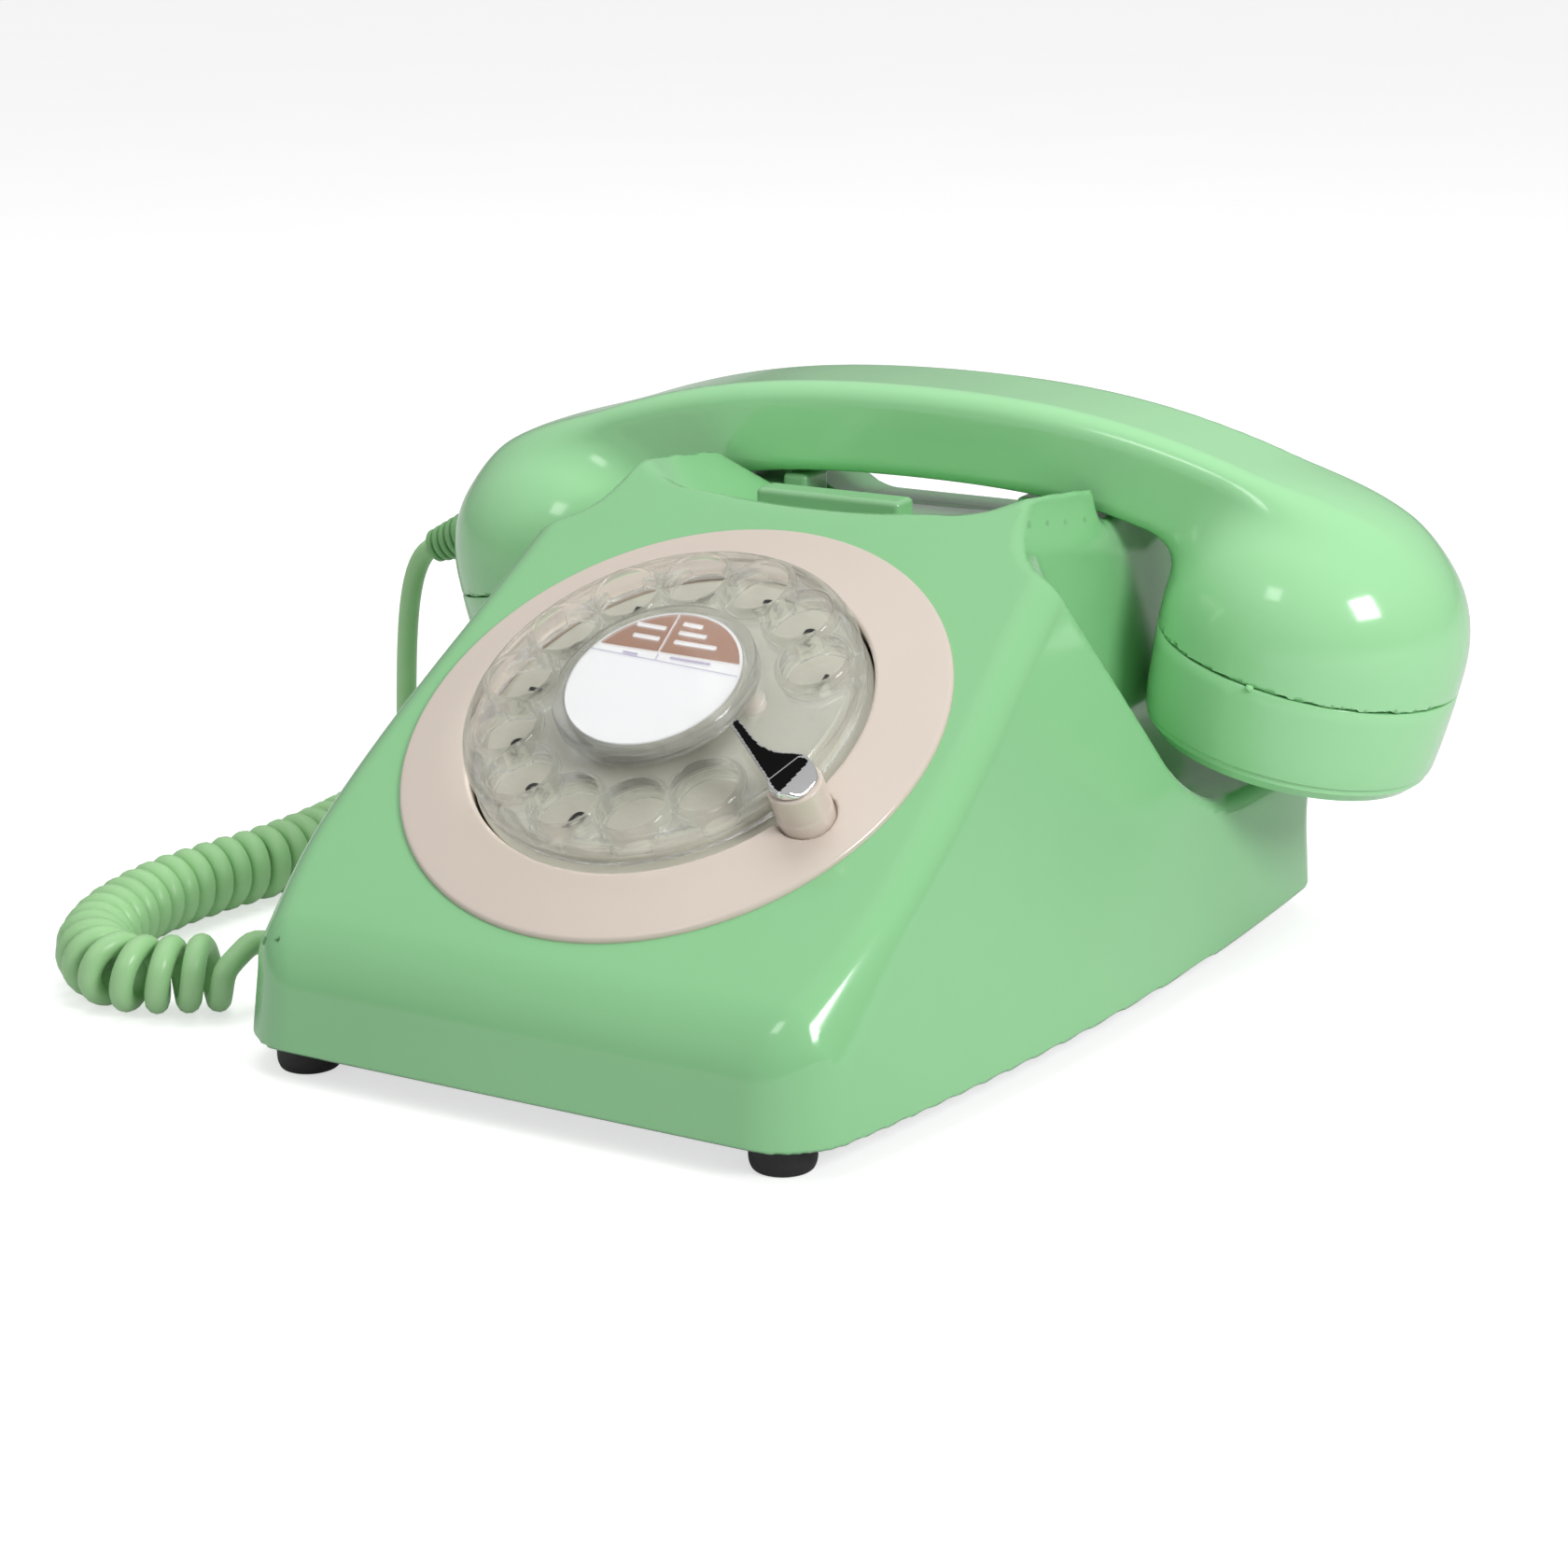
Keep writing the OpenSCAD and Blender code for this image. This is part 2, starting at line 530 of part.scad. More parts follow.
module ringer_coils() {
    color([0.62, 0.32, 0.16]) for (s = [-1, 1]) translate([s * 9, 0, 24]) rotate([-90, 0, 0]) difference() {
        union() {
            cylinder(r = 6, h = 16);
            cylinder(r = 7.4, h = 1.2);
            translate([0, 0, 14.8]) cylinder(r = 7.4, h = 1.2);
        }
        translate([0, 0, -1]) cylinder(r = 3.05, h = 20);
    }
}
module ringer_yoke() {
    color(steel) {
        translate([-18, -3, foot_h + 2.42]) cube([36, 2.9, 23]);
        for (s = [-1, 1]) translate([s * 9, -0.2, 24]) rotate([-90, 0, 0]) cylinder(r = 3, h = 17.6);
    }
}
module clapper_pin() {
    color(steel) {
        translate([0, 24, foot_h + 2.42]) cylinder(r = 1, h = 27);
        translate([0, 24, foot_h + 2.42]) cylinder(r = 2.4, h = 8);
    }
}
module clapper() {
    color(steel) difference() {
        union() {
            translate([-15, 19.5, 20]) cube([30, 2, 8]);
            translate([0, 24, 20]) cylinder(r = 2.35, h = 8);
            translate([-1, 21, 22]) cube([2, 3, 4]);
            translate([0, 25.9, 24]) rotate([-90, 0, 0]) cylinder(r = 0.8, h = 32);
            translate([0, gong_y, 24]) sphere(r = 2.3);
        }
        translate([0, 24, 10]) cylinder(r = 1.05, h = 30);
    }
}

// ---------- electronics ----------
board_holes = [[-30, -67], [30, -67], [-30, -29], [30, -29]];
module circuit_board() {
    color([0.10, 0.42, 0.24]) difference() {
        translate([-34, -71, 13]) cube([68, 46, 1.6]);
        bore_row(board_holes, 1.6, 12, 16);
    }
}
module board_spacers() {
    color(steel) for (p = board_holes) translate([p[0], p[1], 0]) {
        translate([0, 0, foot_h + 2.42]) cylinder(r = 2.8, h = 12.98 - foot_h - 2.42);
        translate([0, 0, 12]) cylinder(r = 1.5, h = 4);
    }
}
module board_parts() {
    color([0.18, 0.18, 0.2]) {
        translate([-22, -55, 14.62]) cube([16, 8, 3.4]);
        translate([8, -57, 14.62]) cube([10, 14, 5]);
        for (i = [0:3]) translate([-24 + i * 9, -37, 14.62]) cylinder(r = 2.6, h = 7);
        for (i = [0:4]) translate([14 + i * 3.2, -39, 14.62]) cube([1.8, 6.5, 2]);
    }
}
module line_socket() {
    color([0.16, 0.16, 0.17]) difference() {
        translate([-7.5, 77, 12]) cube([15, 15.9, 12]);
        translate([-5, 80, 14.4]) cube([10, 15, 7.4]);
    }
}
module handset_socket() {
    color([0.16, 0.16, 0.17]) difference() {
        union() {
            translate([-64.2, -71, foot_h + 2.5]) cube([12, 12, 9]);
            translate([-68.2, -69.8, foot_h + 2.9]) cube([5, 9.6, 7.9]);
        }
        translate([-70, -68.95, 9.45]) cube([12, 7.9, 5.9]);
    }
}

// ---------- handset ----------
module handset_shell() {
    color(mint) difference() {
        union() {
            handle_bar(0);
            for (s = [-1, 1]) {
                cup(s, 0);
                cap_place(s) rotate_extrude($fn = 48) polygon([[0, -8], [28.2, -8], [28.2, 0.2], [29.4, 0.2],
                    [29.4, 3], [0, 3]]);
            }
        }
        handle_bar(wall);
        for (s = [-1, 1]) cap_place(s) rotate_extrude($fn = 48)
            polygon(concat([[0, -9], [25.8, -9], [25.8, 3.2]], cup_profile(wall)));
        relief_place() translate([0, 0, -relief_len - 4]) cylinder(r = 5.5, h = relief_len + 3, $fn = 32);
    }
}
module cap_ring(s) {
    color(mint) cap_place(s) rotate_extrude() polygon([[cap_r, -0.25], [ring_low_r, -ring_h],
        [ring_low_r - 1.2, -ring_h], [28.5, -16.4], [28.5, -0.25]]);
}
module cap_face(s, rings) {
    color(mint) cap_place(s) difference() {
        rotate_extrude() polygon([[0, -20.2], [20, -19.4], [27, -17.35], [29.5, -17.35], [29.4, -18.6],
            [27.6, -20.6], [22, -22], [12, -22.7], [0, -22.9]]);
        for (k = [1:rings], i = [0:k * 6 - 1]) at(i * 60 / k, k * 5)
            translate([0, 0, -25]) cylinder(r = 0.9, h = 8);
        translate([0, 0, -25]) cylinder(r = 0.9, h = 8);
    }
}
module capsule(s, r) {
    color([0.30, 0.30, 0.32]) cap_place(s) {
        translate([0, 0, -16.6]) cylinder(r = 25, h = 6);
        translate([0, 0, -10.7]) cylinder(r = r, h = 7);
    }
}
module ear_ring() { cap_ring(1); }
module ear_face() { cap_face(1, 2); }
module receiver_capsule() { capsule(1, 17); }
module mouth_ring() { cap_ring(-1); }
module mouth_face() { cap_face(-1, 3); }
module microphone_capsule() { capsule(-1, 13); }

// ---------- cord ----------
relief_tip = [-131.4, handset_y, 61.55];
relief_dir = [-0.93, 0, -0.3676];
relief_len = 15;
module relief_place() {
    translate(relief_tip) rotate([0, -90 - atan(relief_dir[2] / relief_dir[0]), 0]) children();
}
module cord_relief() {
    color(mint_dark) relief_place() rotate_extrude() polygon(concat([[0, -relief_len], [5.3, -relief_len]],
            [for (i = [0:4]) let (z = -10.6 + i * 2.3, r = 5.3 - i * 0.32)
                each [[r, z], [r, z + 1.2], [r - 1.3, z + 1.25], [r - 1.4, z + 2.25]]],
            [[3.9, -0.6], [3.6, 0], [0, 0]]));
}
module handset_lead() {
    color(mint_dark) tube(lead_points, cord_d, 10, 3, [0, 1, 0]);
}
module curly_cord() {
    color(mint) tube(coil_points, coil_d, 16, 3, [0, 0, 1]);
}
module base_lead() {
    color(mint_dark) tube(plug_points, cord_d, 10, 2, [0, 0, 1]);
}
module cord_plug() {
    color([0.8, 0.82, 0.8, 0.7]) difference() {
        translate([-76, -68.8, 9.6]) cube([16, 7.6, 5.6]);
        for (i = [0:3]) translate([-62, -67.7 + i * 1.7, 13.4]) cube([3, 0.6, 3]);
    }
}

case_shell();
base_plate();
feet();
base_screws();
dial_bezel();
number_plate();
finger_stop();
dial_frame();
dial_screws();
return_spring();
pulse_contacts();
finger_wheel();
hub_cup();
label_card();
label_cover();
dial_shaft();
main_gear();
pulse_cam();
governor_spindle();
governor_drum();
hook_bar();
hook_spring();
hook_switch();
switch_bracket();
gongs();
gong_posts();
gong_screws();
ringer_coils();
ringer_yoke();
clapper_pin();
clapper();
circuit_board();
board_spacers();
board_parts();
line_socket();
handset_socket();
handset_shell();
ear_ring();
ear_face();
receiver_capsule();
mouth_ring();
mouth_face();
microphone_capsule();
cord_relief();
handset_lead();
curly_cord();
base_lead();
cord_plug();
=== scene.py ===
"""Looks of the rotary dial desk telephone. Shapes are worked out in millimetres, in the CAD frame."""

import itertools
import json
import math

import bpy
import numpy as np
from mathutils import Matrix, Vector


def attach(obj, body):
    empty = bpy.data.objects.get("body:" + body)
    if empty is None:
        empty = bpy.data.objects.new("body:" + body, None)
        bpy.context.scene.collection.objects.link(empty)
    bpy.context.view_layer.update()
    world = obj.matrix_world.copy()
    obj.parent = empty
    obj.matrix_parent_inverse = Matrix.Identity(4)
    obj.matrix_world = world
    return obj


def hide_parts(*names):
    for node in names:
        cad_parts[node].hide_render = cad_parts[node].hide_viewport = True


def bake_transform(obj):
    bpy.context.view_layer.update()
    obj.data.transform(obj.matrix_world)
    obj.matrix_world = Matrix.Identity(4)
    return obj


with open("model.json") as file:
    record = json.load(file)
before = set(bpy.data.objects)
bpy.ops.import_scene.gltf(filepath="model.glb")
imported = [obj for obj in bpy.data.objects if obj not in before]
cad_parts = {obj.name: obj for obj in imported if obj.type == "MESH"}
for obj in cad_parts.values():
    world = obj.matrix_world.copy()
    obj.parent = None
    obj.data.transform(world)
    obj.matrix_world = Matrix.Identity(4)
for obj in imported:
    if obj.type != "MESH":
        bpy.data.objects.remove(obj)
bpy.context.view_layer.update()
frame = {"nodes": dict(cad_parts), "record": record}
MM = 0.001

# Driving dimensions, as in the part's source, in millimetres
FRONT, REAR = -99.5, 93.5
FACE_Y, FACE_Z, SLOPE = -39.2, 61.4, math.radians(31)
WALL = 2.6
SHELF_Z, DECK_Z, FOOT_H = 34.0, 87.7, 6.0
HANDSET_Y, CAP_X, CAP_Z, CAP_TILT = 68.0, 86.3, 61.7, math.radians(12.5)
WELL_R, BEZEL_R, BEZEL_H, WHEEL_R = 40.3, 55.0, 3.2, 39.4
FINGER_R, FINGER_CIRCLE_R, FIRST_HOLE, HOLE_STEP = 6.4, 30.4, 24.0, 26.4
STOP_ANGLE, STOP_R = -25.5, 42.8
PLATE_TOP, WHEEL_TOP, RIM_LOW, COLLAR_LOW = 3.8, 10.0, 3.4, 5.0
CORD_D, COIL_D = 4.8, 16.4
SINS, COSS = math.sin(SLOPE), math.cos(SLOPE)
CLOSE_PITCH, OPEN_PITCH, CLOSE_LENGTH = 5.35, 5.9, 128.0
CORD_STEP = 1.45
LABEL_H, PRINT_STEP = 12.85, 0.03

# Light: the floor looks white to the camera and gives off less towards the part
WORLD_LIGHT, KEY_LIGHT, TOP_LIGHT = 0.50, 6.4, 6.0
FLOOR_GLOW, FLOOR_GLOW_ON_PART, FLOOR_REACH = 0.62, 0.12, 30.0


# ---------- camera, floor and light ----------
def make_camera():
    yaw, pitch, roll = (math.radians(a) for a in (30.015, 16.622, 0.641))
    right = Vector((math.cos(yaw), math.sin(yaw), 0))
    back = Vector((math.sin(yaw) * math.cos(pitch), -math.cos(yaw) * math.cos(pitch), math.sin(pitch)))
    up = back.cross(right)
    across = math.cos(roll) * right - math.sin(roll) * up
    upward = math.sin(roll) * right + math.cos(roll) * up
    data = bpy.data.cameras.new("camera")
    data.lens = 79.29
    data.sensor_width = 36
    data.clip_start, data.clip_end = 0.05, 50
    camera = bpy.data.objects.new("camera", data)
    turn = Matrix((across, upward, back)).transposed()
    camera.matrix_world = Matrix.Translation(Vector((0.3351, -0.5773, 0.23885))) @ turn.to_4x4()
    bpy.context.scene.collection.objects.link(camera)
    bpy.context.scene.camera = camera


def area_light(name, place, size, power):
    """A soft box that looks at the middle of the part. Places and sizes are in metres."""
    data = bpy.data.lights.new(name, "AREA")
    data.shape = "RECTANGLE"
    data.size, data.size_y = size
    data.energy = power
    light = bpy.data.objects.new(name, data)
    direction = Vector((0, 0, 0.05)) - Vector(place)
    turn = direction.to_track_quat("-Z", "Y").to_matrix().to_4x4()
    light.matrix_world = Matrix.Translation(Vector(place)) @ turn
    bpy.context.scene.collection.objects.link(light)
    return light


def make_studio():
    """A white room, brighter above than at the sides, with soft boxes that give the gloss its highlights."""
    bpy.context.scene.view_settings.view_transform = "Standard"
    world = bpy.data.worlds.new("studio")
    bpy.context.scene.world = world
    world.use_nodes = True
    tree = world.node_tree
    background = tree.nodes["Background"]
    place = tree.nodes.new("ShaderNodeTexCoord")
    split = tree.nodes.new("ShaderNodeSeparateXYZ")
    ramp = tree.nodes.new("ShaderNodeValToRGB")
    ramp.color_ramp.elements[0].position = 0.05
    ramp.color_ramp.elements[0].color = (0.40, 0.40, 0.40, 1)
    ramp.color_ramp.elements[1].position = 0.62
    ramp.color_ramp.elements[1].color = (1.0, 1.0, 1.0, 1)
    tree.links.new(place.outputs["Generated"], split.inputs[0])
    tree.links.new(split.outputs["Z"], ramp.inputs["Fac"])
    tree.links.new(ramp.outputs["Color"], background.inputs["Color"])
    background.inputs["Strength"].default_value = WORLD_LIGHT
    area_light("key", (0.90, -0.30, 0.66), (0.34, 0.34), KEY_LIGHT)
    area_light("window", (-0.15, -0.75, 0.85), (0.22, 0.22), KEY_LIGHT * 0.1)
    overhead = area_light("top", (-0.1, 0.15, 1.2), (0.9, 0.7), TOP_LIGHT)
    overhead.visible_glossy = False
    floor_mesh = bpy.data.meshes.new("floor")
    corners = [(x * FLOOR_REACH, y * FLOOR_REACH, 0) for x, y in ((-1, -1), (1, -1), (1, 1), (-1, 1))]
    floor_mesh.from_pydata(corners, [], [(0, 1, 2, 3)])
    floor = bpy.data.objects.new("floor", floor_mesh)
    bpy.context.scene.collection.objects.link(floor)
    paper = Material("floor_paper", (0.60, 0.60, 0.60), 0.9, Emission_Color=(1, 1, 1, 1))
    paper.noise_colour(12, 0.01)
    path = paper.tree.nodes.new("ShaderNodeLightPath")
    glow = paper.tree.nodes.new("ShaderNodeMapRange")
    glow.inputs["To Min"].default_value = FLOOR_GLOW_ON_PART
    glow.inputs["To Max"].default_value = FLOOR_GLOW
    paper.tree.links.new(path.outputs["Is Camera Ray"], glow.inputs["Value"])
    paper.tree.links.new(glow.outputs["Result"], paper.shader.inputs["Emission Strength"])
    floor.data.materials.append(paper.material)


# ---------- materials ----------
class Material:
    """A principled material whose colour, roughness and surface come from procedural noise."""

    def __init__(self, name, colour, roughness, metallic=0.0, **inputs):
        self.material = bpy.data.materials.new(name)
        self.material.use_nodes = True
        self.tree = self.material.node_tree
        self.shader = self.tree.nodes["Principled BSDF"]
        self.colour = colour
        self.place = self.tree.nodes.new("ShaderNodeTexCoord")
        self.shader.inputs["Base Color"].default_value = (*colour, 1)
        self.shader.inputs["Roughness"].default_value = roughness
        self.shader.inputs["Metallic"].default_value = metallic
        for key, value in inputs.items():
            self.shader.inputs[key.replace("_", " ")].default_value = value

    def noise(self, scale, detail, stretch=(1, 1, 1)):
        mapping = self.tree.nodes.new("ShaderNodeMapping")
        mapping.inputs["Scale"].default_value = stretch
        noise = self.tree.nodes.new("ShaderNodeTexNoise")
        noise.inputs["Scale"].default_value = scale
        noise.inputs["Detail"].default_value = detail
        self.tree.links.new(self.place.outputs["Object"], mapping.inputs["Vector"])
        self.tree.links.new(mapping.outputs["Vector"], noise.inputs["Vector"])
        return noise.outputs["Fac"]

    def noise_colour(self, scale, amount):
        ramp = self.tree.nodes.new("ShaderNodeValToRGB")
        low = [c * (1 - amount) for c in self.colour]
        high = [min(1, c * (1 + amount)) for c in self.colour]
        ramp.color_ramp.elements[0].position = 0.35
        ramp.color_ramp.elements[0].color = (*low, 1)
        ramp.color_ramp.elements[1].position = 0.65
        ramp.color_ramp.elements[1].color = (*high, 1)
        self.tree.links.new(self.noise(scale, 4.0), ramp.inputs["Fac"])
        self.tree.links.new(ramp.outputs["Color"], self.shader.inputs["Base Color"])

    def noise_roughness(self, scale, low, high, stretch=(1, 1, 1)):
        span = self.tree.nodes.new("ShaderNodeMapRange")
        span.inputs["From Min"].default_value = 0.3
        span.inputs["From Max"].default_value = 0.7
        span.inputs["To Min"].default_value = low
        span.inputs["To Max"].default_value = high
        self.tree.links.new(self.noise(scale, 5.0, stretch), span.inputs["Value"])
        self.tree.links.new(span.outputs["Result"], self.shader.inputs["Roughness"])

    def bump(self, scale, strength):
        bump = self.tree.nodes.new("ShaderNodeBump")
        bump.inputs["Strength"].default_value = strength
        bump.inputs["Distance"].default_value = 0.2 * MM
        self.tree.links.new(self.noise(scale, 3.0), bump.inputs["Height"])
        self.tree.links.new(bump.outputs["Normal"], self.shader.inputs["Normal"])


def gloss(name, colour, roughness):
    made = Material(name, colour, roughness, Coat_Weight=0.35, Coat_Roughness=0.06)
    made.noise_colour(9, 0.03)
    made.noise_roughness(60, roughness * 0.8, roughness * 1.3)
    made.bump(45, 0.05)
    return made.material


def satin(name, colour, roughness, variation=0.06):
    made = Material(name, colour, roughness)
    made.noise_colour(40, variation)
    made.noise_roughness(200, roughness * 0.85, roughness * 1.15)
    made.bump(900, 0.15)
    return made.material


def metal(name, colour, roughness, stretch=(1, 1, 1)):
    made = Material(name, colour, roughness, metallic=1.0)
    made.noise_colour(30, 0.08)
    made.noise_roughness(260, roughness * 0.7, roughness * 1.4, stretch)
    made.bump(500, 0.08)
    return made.material


def clear(name):
    """Clear plastic: part glass and part plain see-through, and mostly see-through to shadows."""
    made = Material(name, (0.995, 1.0, 0.995), 0.02, IOR=1.49, Transmission_Weight=1.0)
    made.noise_roughness(90, 0.01, 0.025)
    tree = made.tree
    through = tree.nodes.new("ShaderNodeBsdfTransparent")
    through.inputs["Color"].default_value = (0.99, 0.995, 0.985, 1)
    mix = tree.nodes.new("ShaderNodeMixShader")
    path = tree.nodes.new("ShaderNodeLightPath")
    share = tree.nodes.new("ShaderNodeMapRange")
    share.inputs["To Min"].default_value = 0.55
    share.inputs["To Max"].default_value = 0.08
    tree.links.new(path.outputs["Is Shadow Ray"], share.inputs["Value"])
    tree.links.new(share.outputs["Result"], mix.inputs["Fac"])
    out = tree.nodes["Material Output"]
    tree.links.new(through.outputs[0], mix.inputs[1])
    tree.links.new(made.shader.outputs[0], mix.inputs[2])
    tree.links.new(mix.outputs[0], out.inputs["Surface"])
    return made.material


def make_materials():
    return {
        "case_green": gloss("case_green", (0.245, 0.555, 0.262), 0.17),
        # a lighter copy of the case's green plastic: painted light, for the extra light that falls on the
        # handset's front and domes
        "handset_green": gloss("handset_green", (0.35, 0.72, 0.365), 0.14),
        "hook_green": gloss("hook_green", (0.25, 0.51, 0.26), 0.2),
        "cord_green": satin("cord_green", (0.37, 0.66, 0.32), 0.33),
        "relief_green": satin("relief_green", (0.22, 0.47, 0.20), 0.38),
        "bezel_cream": gloss("bezel_cream", (0.645, 0.56, 0.49), 0.2),
        "plate_grey": satin("plate_grey", (0.44, 0.43, 0.36), 0.4, 0.04),
        "clear_plastic": clear("clear_plastic"),
        "hub_grey": satin("hub_grey", (0.36, 0.35, 0.31), 0.35),
        "label_white": satin("label_white", (0.90, 0.90, 0.93), 0.35, 0.01),
        "chrome_steel": metal("chrome_steel", (0.86, 0.86, 0.87), 0.06),
        "zinc_steel": metal("zinc_steel", (0.62, 0.63, 0.64), 0.32),
        "spring_steel": metal("spring_steel", (0.42, 0.43, 0.45), 0.25),
        "brass_parts": metal("brass_parts", (0.72, 0.52, 0.22), 0.28),
        "black_rubber": satin("black_rubber", (0.012, 0.012, 0.012), 0.55, 0.2),
        "black_plastic": satin("black_plastic", (0.02, 0.02, 0.022), 0.35, 0.15),
        "brown_phenolic": satin("brown_phenolic", (0.06, 0.035, 0.02), 0.35, 0.2),
        "coil_copper": metal("coil_copper", (0.48, 0.18, 0.07), 0.35, (1, 60, 1)),
        "board_green": satin("board_green", (0.01, 0.12, 0.05), 0.4, 0.15),
        "capsule_grey": metal("capsule_grey", (0.2, 0.2, 0.21), 0.4),
        # near-black chrome: the painted dark reflection on the finger stop blade's flat top
        "painted_dark_reflection": metal("painted_dark_reflection", (0.012, 0.013, 0.012), 0.1),
        "print_brown": satin("print_brown", (0.33, 0.155, 0.09), 0.4),
        "print_lilac": satin("print_lilac", (0.42, 0.38, 0.58), 0.4),
        "print_black": satin("print_black", (0.01, 0.01, 0.01), 0.4),
    }


# ---------- making pieces ----------
def piece(name, points, faces, body, material, replaces=(), normals=None, smooth=True):
    """A mesh piece from points in millimetres that rides on a body."""
    mesh = bpy.data.meshes.new(name)
    faces = faces if isinstance(faces, list) else faces.tolist()
    mesh.from_pydata((np.asarray(points, float) * MM).tolist(), [], faces)
    if smooth:
        mesh.polygons.foreach_set("use_smooth", [True] * len(mesh.polygons))
    mesh.materials.append(materials[material])
    if normals is not None:
        mesh.normals_split_custom_set_from_vertices(normals.tolist())
    thing = bpy.data.objects.new(name, mesh)
    bpy.context.scene.collection.objects.link(thing)
    if body:
        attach(thing, body)
    if replaces:
        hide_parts(*replaces)
    return thing


def surface_net(field, low, high, cell):
    """Points and quads of the surface where field is zero, with one point in each grid cell it crosses."""
    axes = [np.arange(a - 1.5 * cell, b + 2.5 * cell, cell) for a, b in zip(low, high)]
    values = field(*np.meshgrid(*axes, indexing="ij"))
    inside = values < 0
    size = np.array(inside.shape) - 1
    offsets = list(itertools.product((0, 1), repeat=3))
    count = sum(inside[i:size[0] + i, j:size[1] + j, k:size[2] + k].astype(np.int8) for i, j, k in offsets)
    active = (count > 0) & (count < 8)
    index = np.full(active.shape, -1, np.int64)
    index[active] = np.arange(active.sum())
    cells = np.argwhere(active)
    total = np.zeros((len(cells), 3))
    hits = np.zeros(len(cells))
    for a, b in itertools.combinations(offsets, 2):
        if sum(abs(np.subtract(a, b))) != 1:
            continue
        va = values[tuple((cells + a).T)]
        vb = values[tuple((cells + b).T)]
        crossed = (va < 0) != (vb < 0)
        t = va[crossed] / (va[crossed] - vb[crossed])
        total[crossed] += np.array(a) + t[:, None] * np.subtract(b, a)
        hits += crossed
    points = np.array([a[0] for a in axes]) + cell * (cells + total / hits[:, None])
    quads = []
    for axis in range(3):
        order = [(axis + i) % 3 for i in range(3)]
        near = inside.transpose(order)
        number = index.transpose(order)
        first, second = near[:-1, 1:-1, 1:-1], near[1:, 1:-1, 1:-1]
        found = first != second
        ring = np.stack([number[:, :-1, :-1][found], number[:, 1:, :-1][found],
                         number[:, 1:, 1:][found], number[:, :-1, 1:][found]], 1)
        flip = ~first[found]
        ring[flip] = ring[flip][:, ::-1]
        quads.append(ring)
    return points, np.concatenate(quads)


def slope_of(field, points, step=0.04):
    parts = []
    for axis in np.eye(3):
        ahead = field(*(points + axis * step).T)
        behind = field(*(points - axis * step).T)
        parts.append((ahead - behind) / (2 * step))
    return np.stack(parts, 1)


def implicit(name, field, low, high, cell, body, material, replaces=(), place=None):
    """A piece whose surface is where field is zero. place turns its own frame into the CAD frame."""
    points, quads = surface_net(field, low, high, cell)
    for _ in range(5):
        slope = slope_of(field, points)
        move = field(*points.T) / np.maximum((slope ** 2).sum(1), 0.04)
        points = points - np.clip(move, -0.5 * cell, 0.5 * cell)[:, None] * slope
    slope = slope_of(field, points)
    normals = slope / np.maximum(np.linalg.norm(slope, axis=1), 1e-9)[:, None]
    if place is not None:
        turn = np.array(place.to_3x3())
        points = points @ turn.T + np.array(place.translation)
        normals = normals @ turn.T
    return piece(name, points, quads, body, material, replaces, normals)


def lathe(name, profile, body, material, replaces=(), place=None, sides=96):
    """A turned piece. Its profile is (radius, height) points, from the bottom of the axis round to the top,
    or back to the first point."""
    ring = profile[0] == profile[-1]
    profile = profile[:-1] if ring else profile
    angles = np.arange(sides) * 2 * math.pi / sides
    rings = [np.stack([r * np.cos(angles), r * np.sin(angles), np.full(sides, h)], 1) for r, h in profile]
    points = np.concatenate(rings)
    faces = []
    for k in range(len(profile) - (not ring)):
        low, high = k * sides, (k + 1) % len(profile) * sides
        for i in range(sides):
            j = (i + 1) % sides
            faces.append((low + i, low + j, high + j, high + i))
    if not ring:
        faces.append(tuple(range(sides))[::-1])
        faces.append(tuple((len(profile) - 1) * sides + i for i in range(sides)))
    if place is not None:
        turn = np.array(place.to_3x3())
        points = points @ turn.T + np.array(place.translation)
    made = piece(name, points, faces, body, material, replaces)
    made.data.set_sharp_from_angle(angle=math.radians(40))
    return made


def rounded(profile, radius, steps=4):
    """The open profile with each inner corner rounded."""
    out = [profile[0]]
    for a, b, c in zip(profile, profile[1:], profile[2:]):
        a, b, c = np.array(a, float), np.array(b, float), np.array(c, float)
        r = min(radius, 0.45 * np.linalg.norm(a - b), 0.45 * np.linalg.norm(c - b))
        start = b + (a - b) / np.linalg.norm(a - b) * r
        end = b + (c - b) / np.linalg.norm(c - b) * r
        for i in range(steps + 1):
            t = i / steps
            out.append(tuple((1 - t) ** 2 * start + 2 * t * (1 - t) * b + t * t * end))
    return out + [profile[-1]]


def join_round(radius, *fields):
    """What is inside all the fields, with the edges between them rounded."""
    over = np.sqrt(sum(np.maximum(f + radius, 0) ** 2 for f in fields))
    return np.minimum(np.maximum.reduce(fields), -radius) + over


def add_round(radius, *fields):
    """What is inside any of the fields, with the inner corners between them rounded."""
    return -join_round(radius, *[-f for f in fields])


def melt(width, a, b):
    """a and b joined, with a soft seam."""
    return np.minimum(a, b) - np.maximum(width - np.abs(a - b), 0) ** 2 / (4 * width)


def block(x, y, z, low, high, radius=0.6):
    return join_round(radius, low[0] - x, x - high[0], low[1] - y, y - high[1], low[2] - z, z - high[2])


def even_fit(pairs, degree):
    """A smooth even curve through (distance, height) pairs."""
    x, z = np.array(pairs, float).T
    terms = np.polyfit((x / 100) ** 2, z, degree)
    return lambda v: np.polyval(terms, (v / 100) ** 2)


def dial_matrix():
    return Matrix.Translation((0, FACE_Y, FACE_Z)) @ Matrix.Rotation(SLOPE, 4, "X")


def on_dial(angle, radius):
    return dial_matrix() @ Matrix.Rotation(math.radians(angle), 4, "Z") @ Matrix.Translation((radius, 0, 0))


# ---------- the case ----------
LEAN = [(-100, 0.06), (-91, 0.10), (-44, 0.21), (5, 0.268), (27, 0.24), (57, 0.12), (94, 0.04)]
lean_terms = np.polyfit(np.linspace(-100, 94, 60),
                        np.interp(np.linspace(-100, 94, 60), *np.array(LEAN).T), 5)


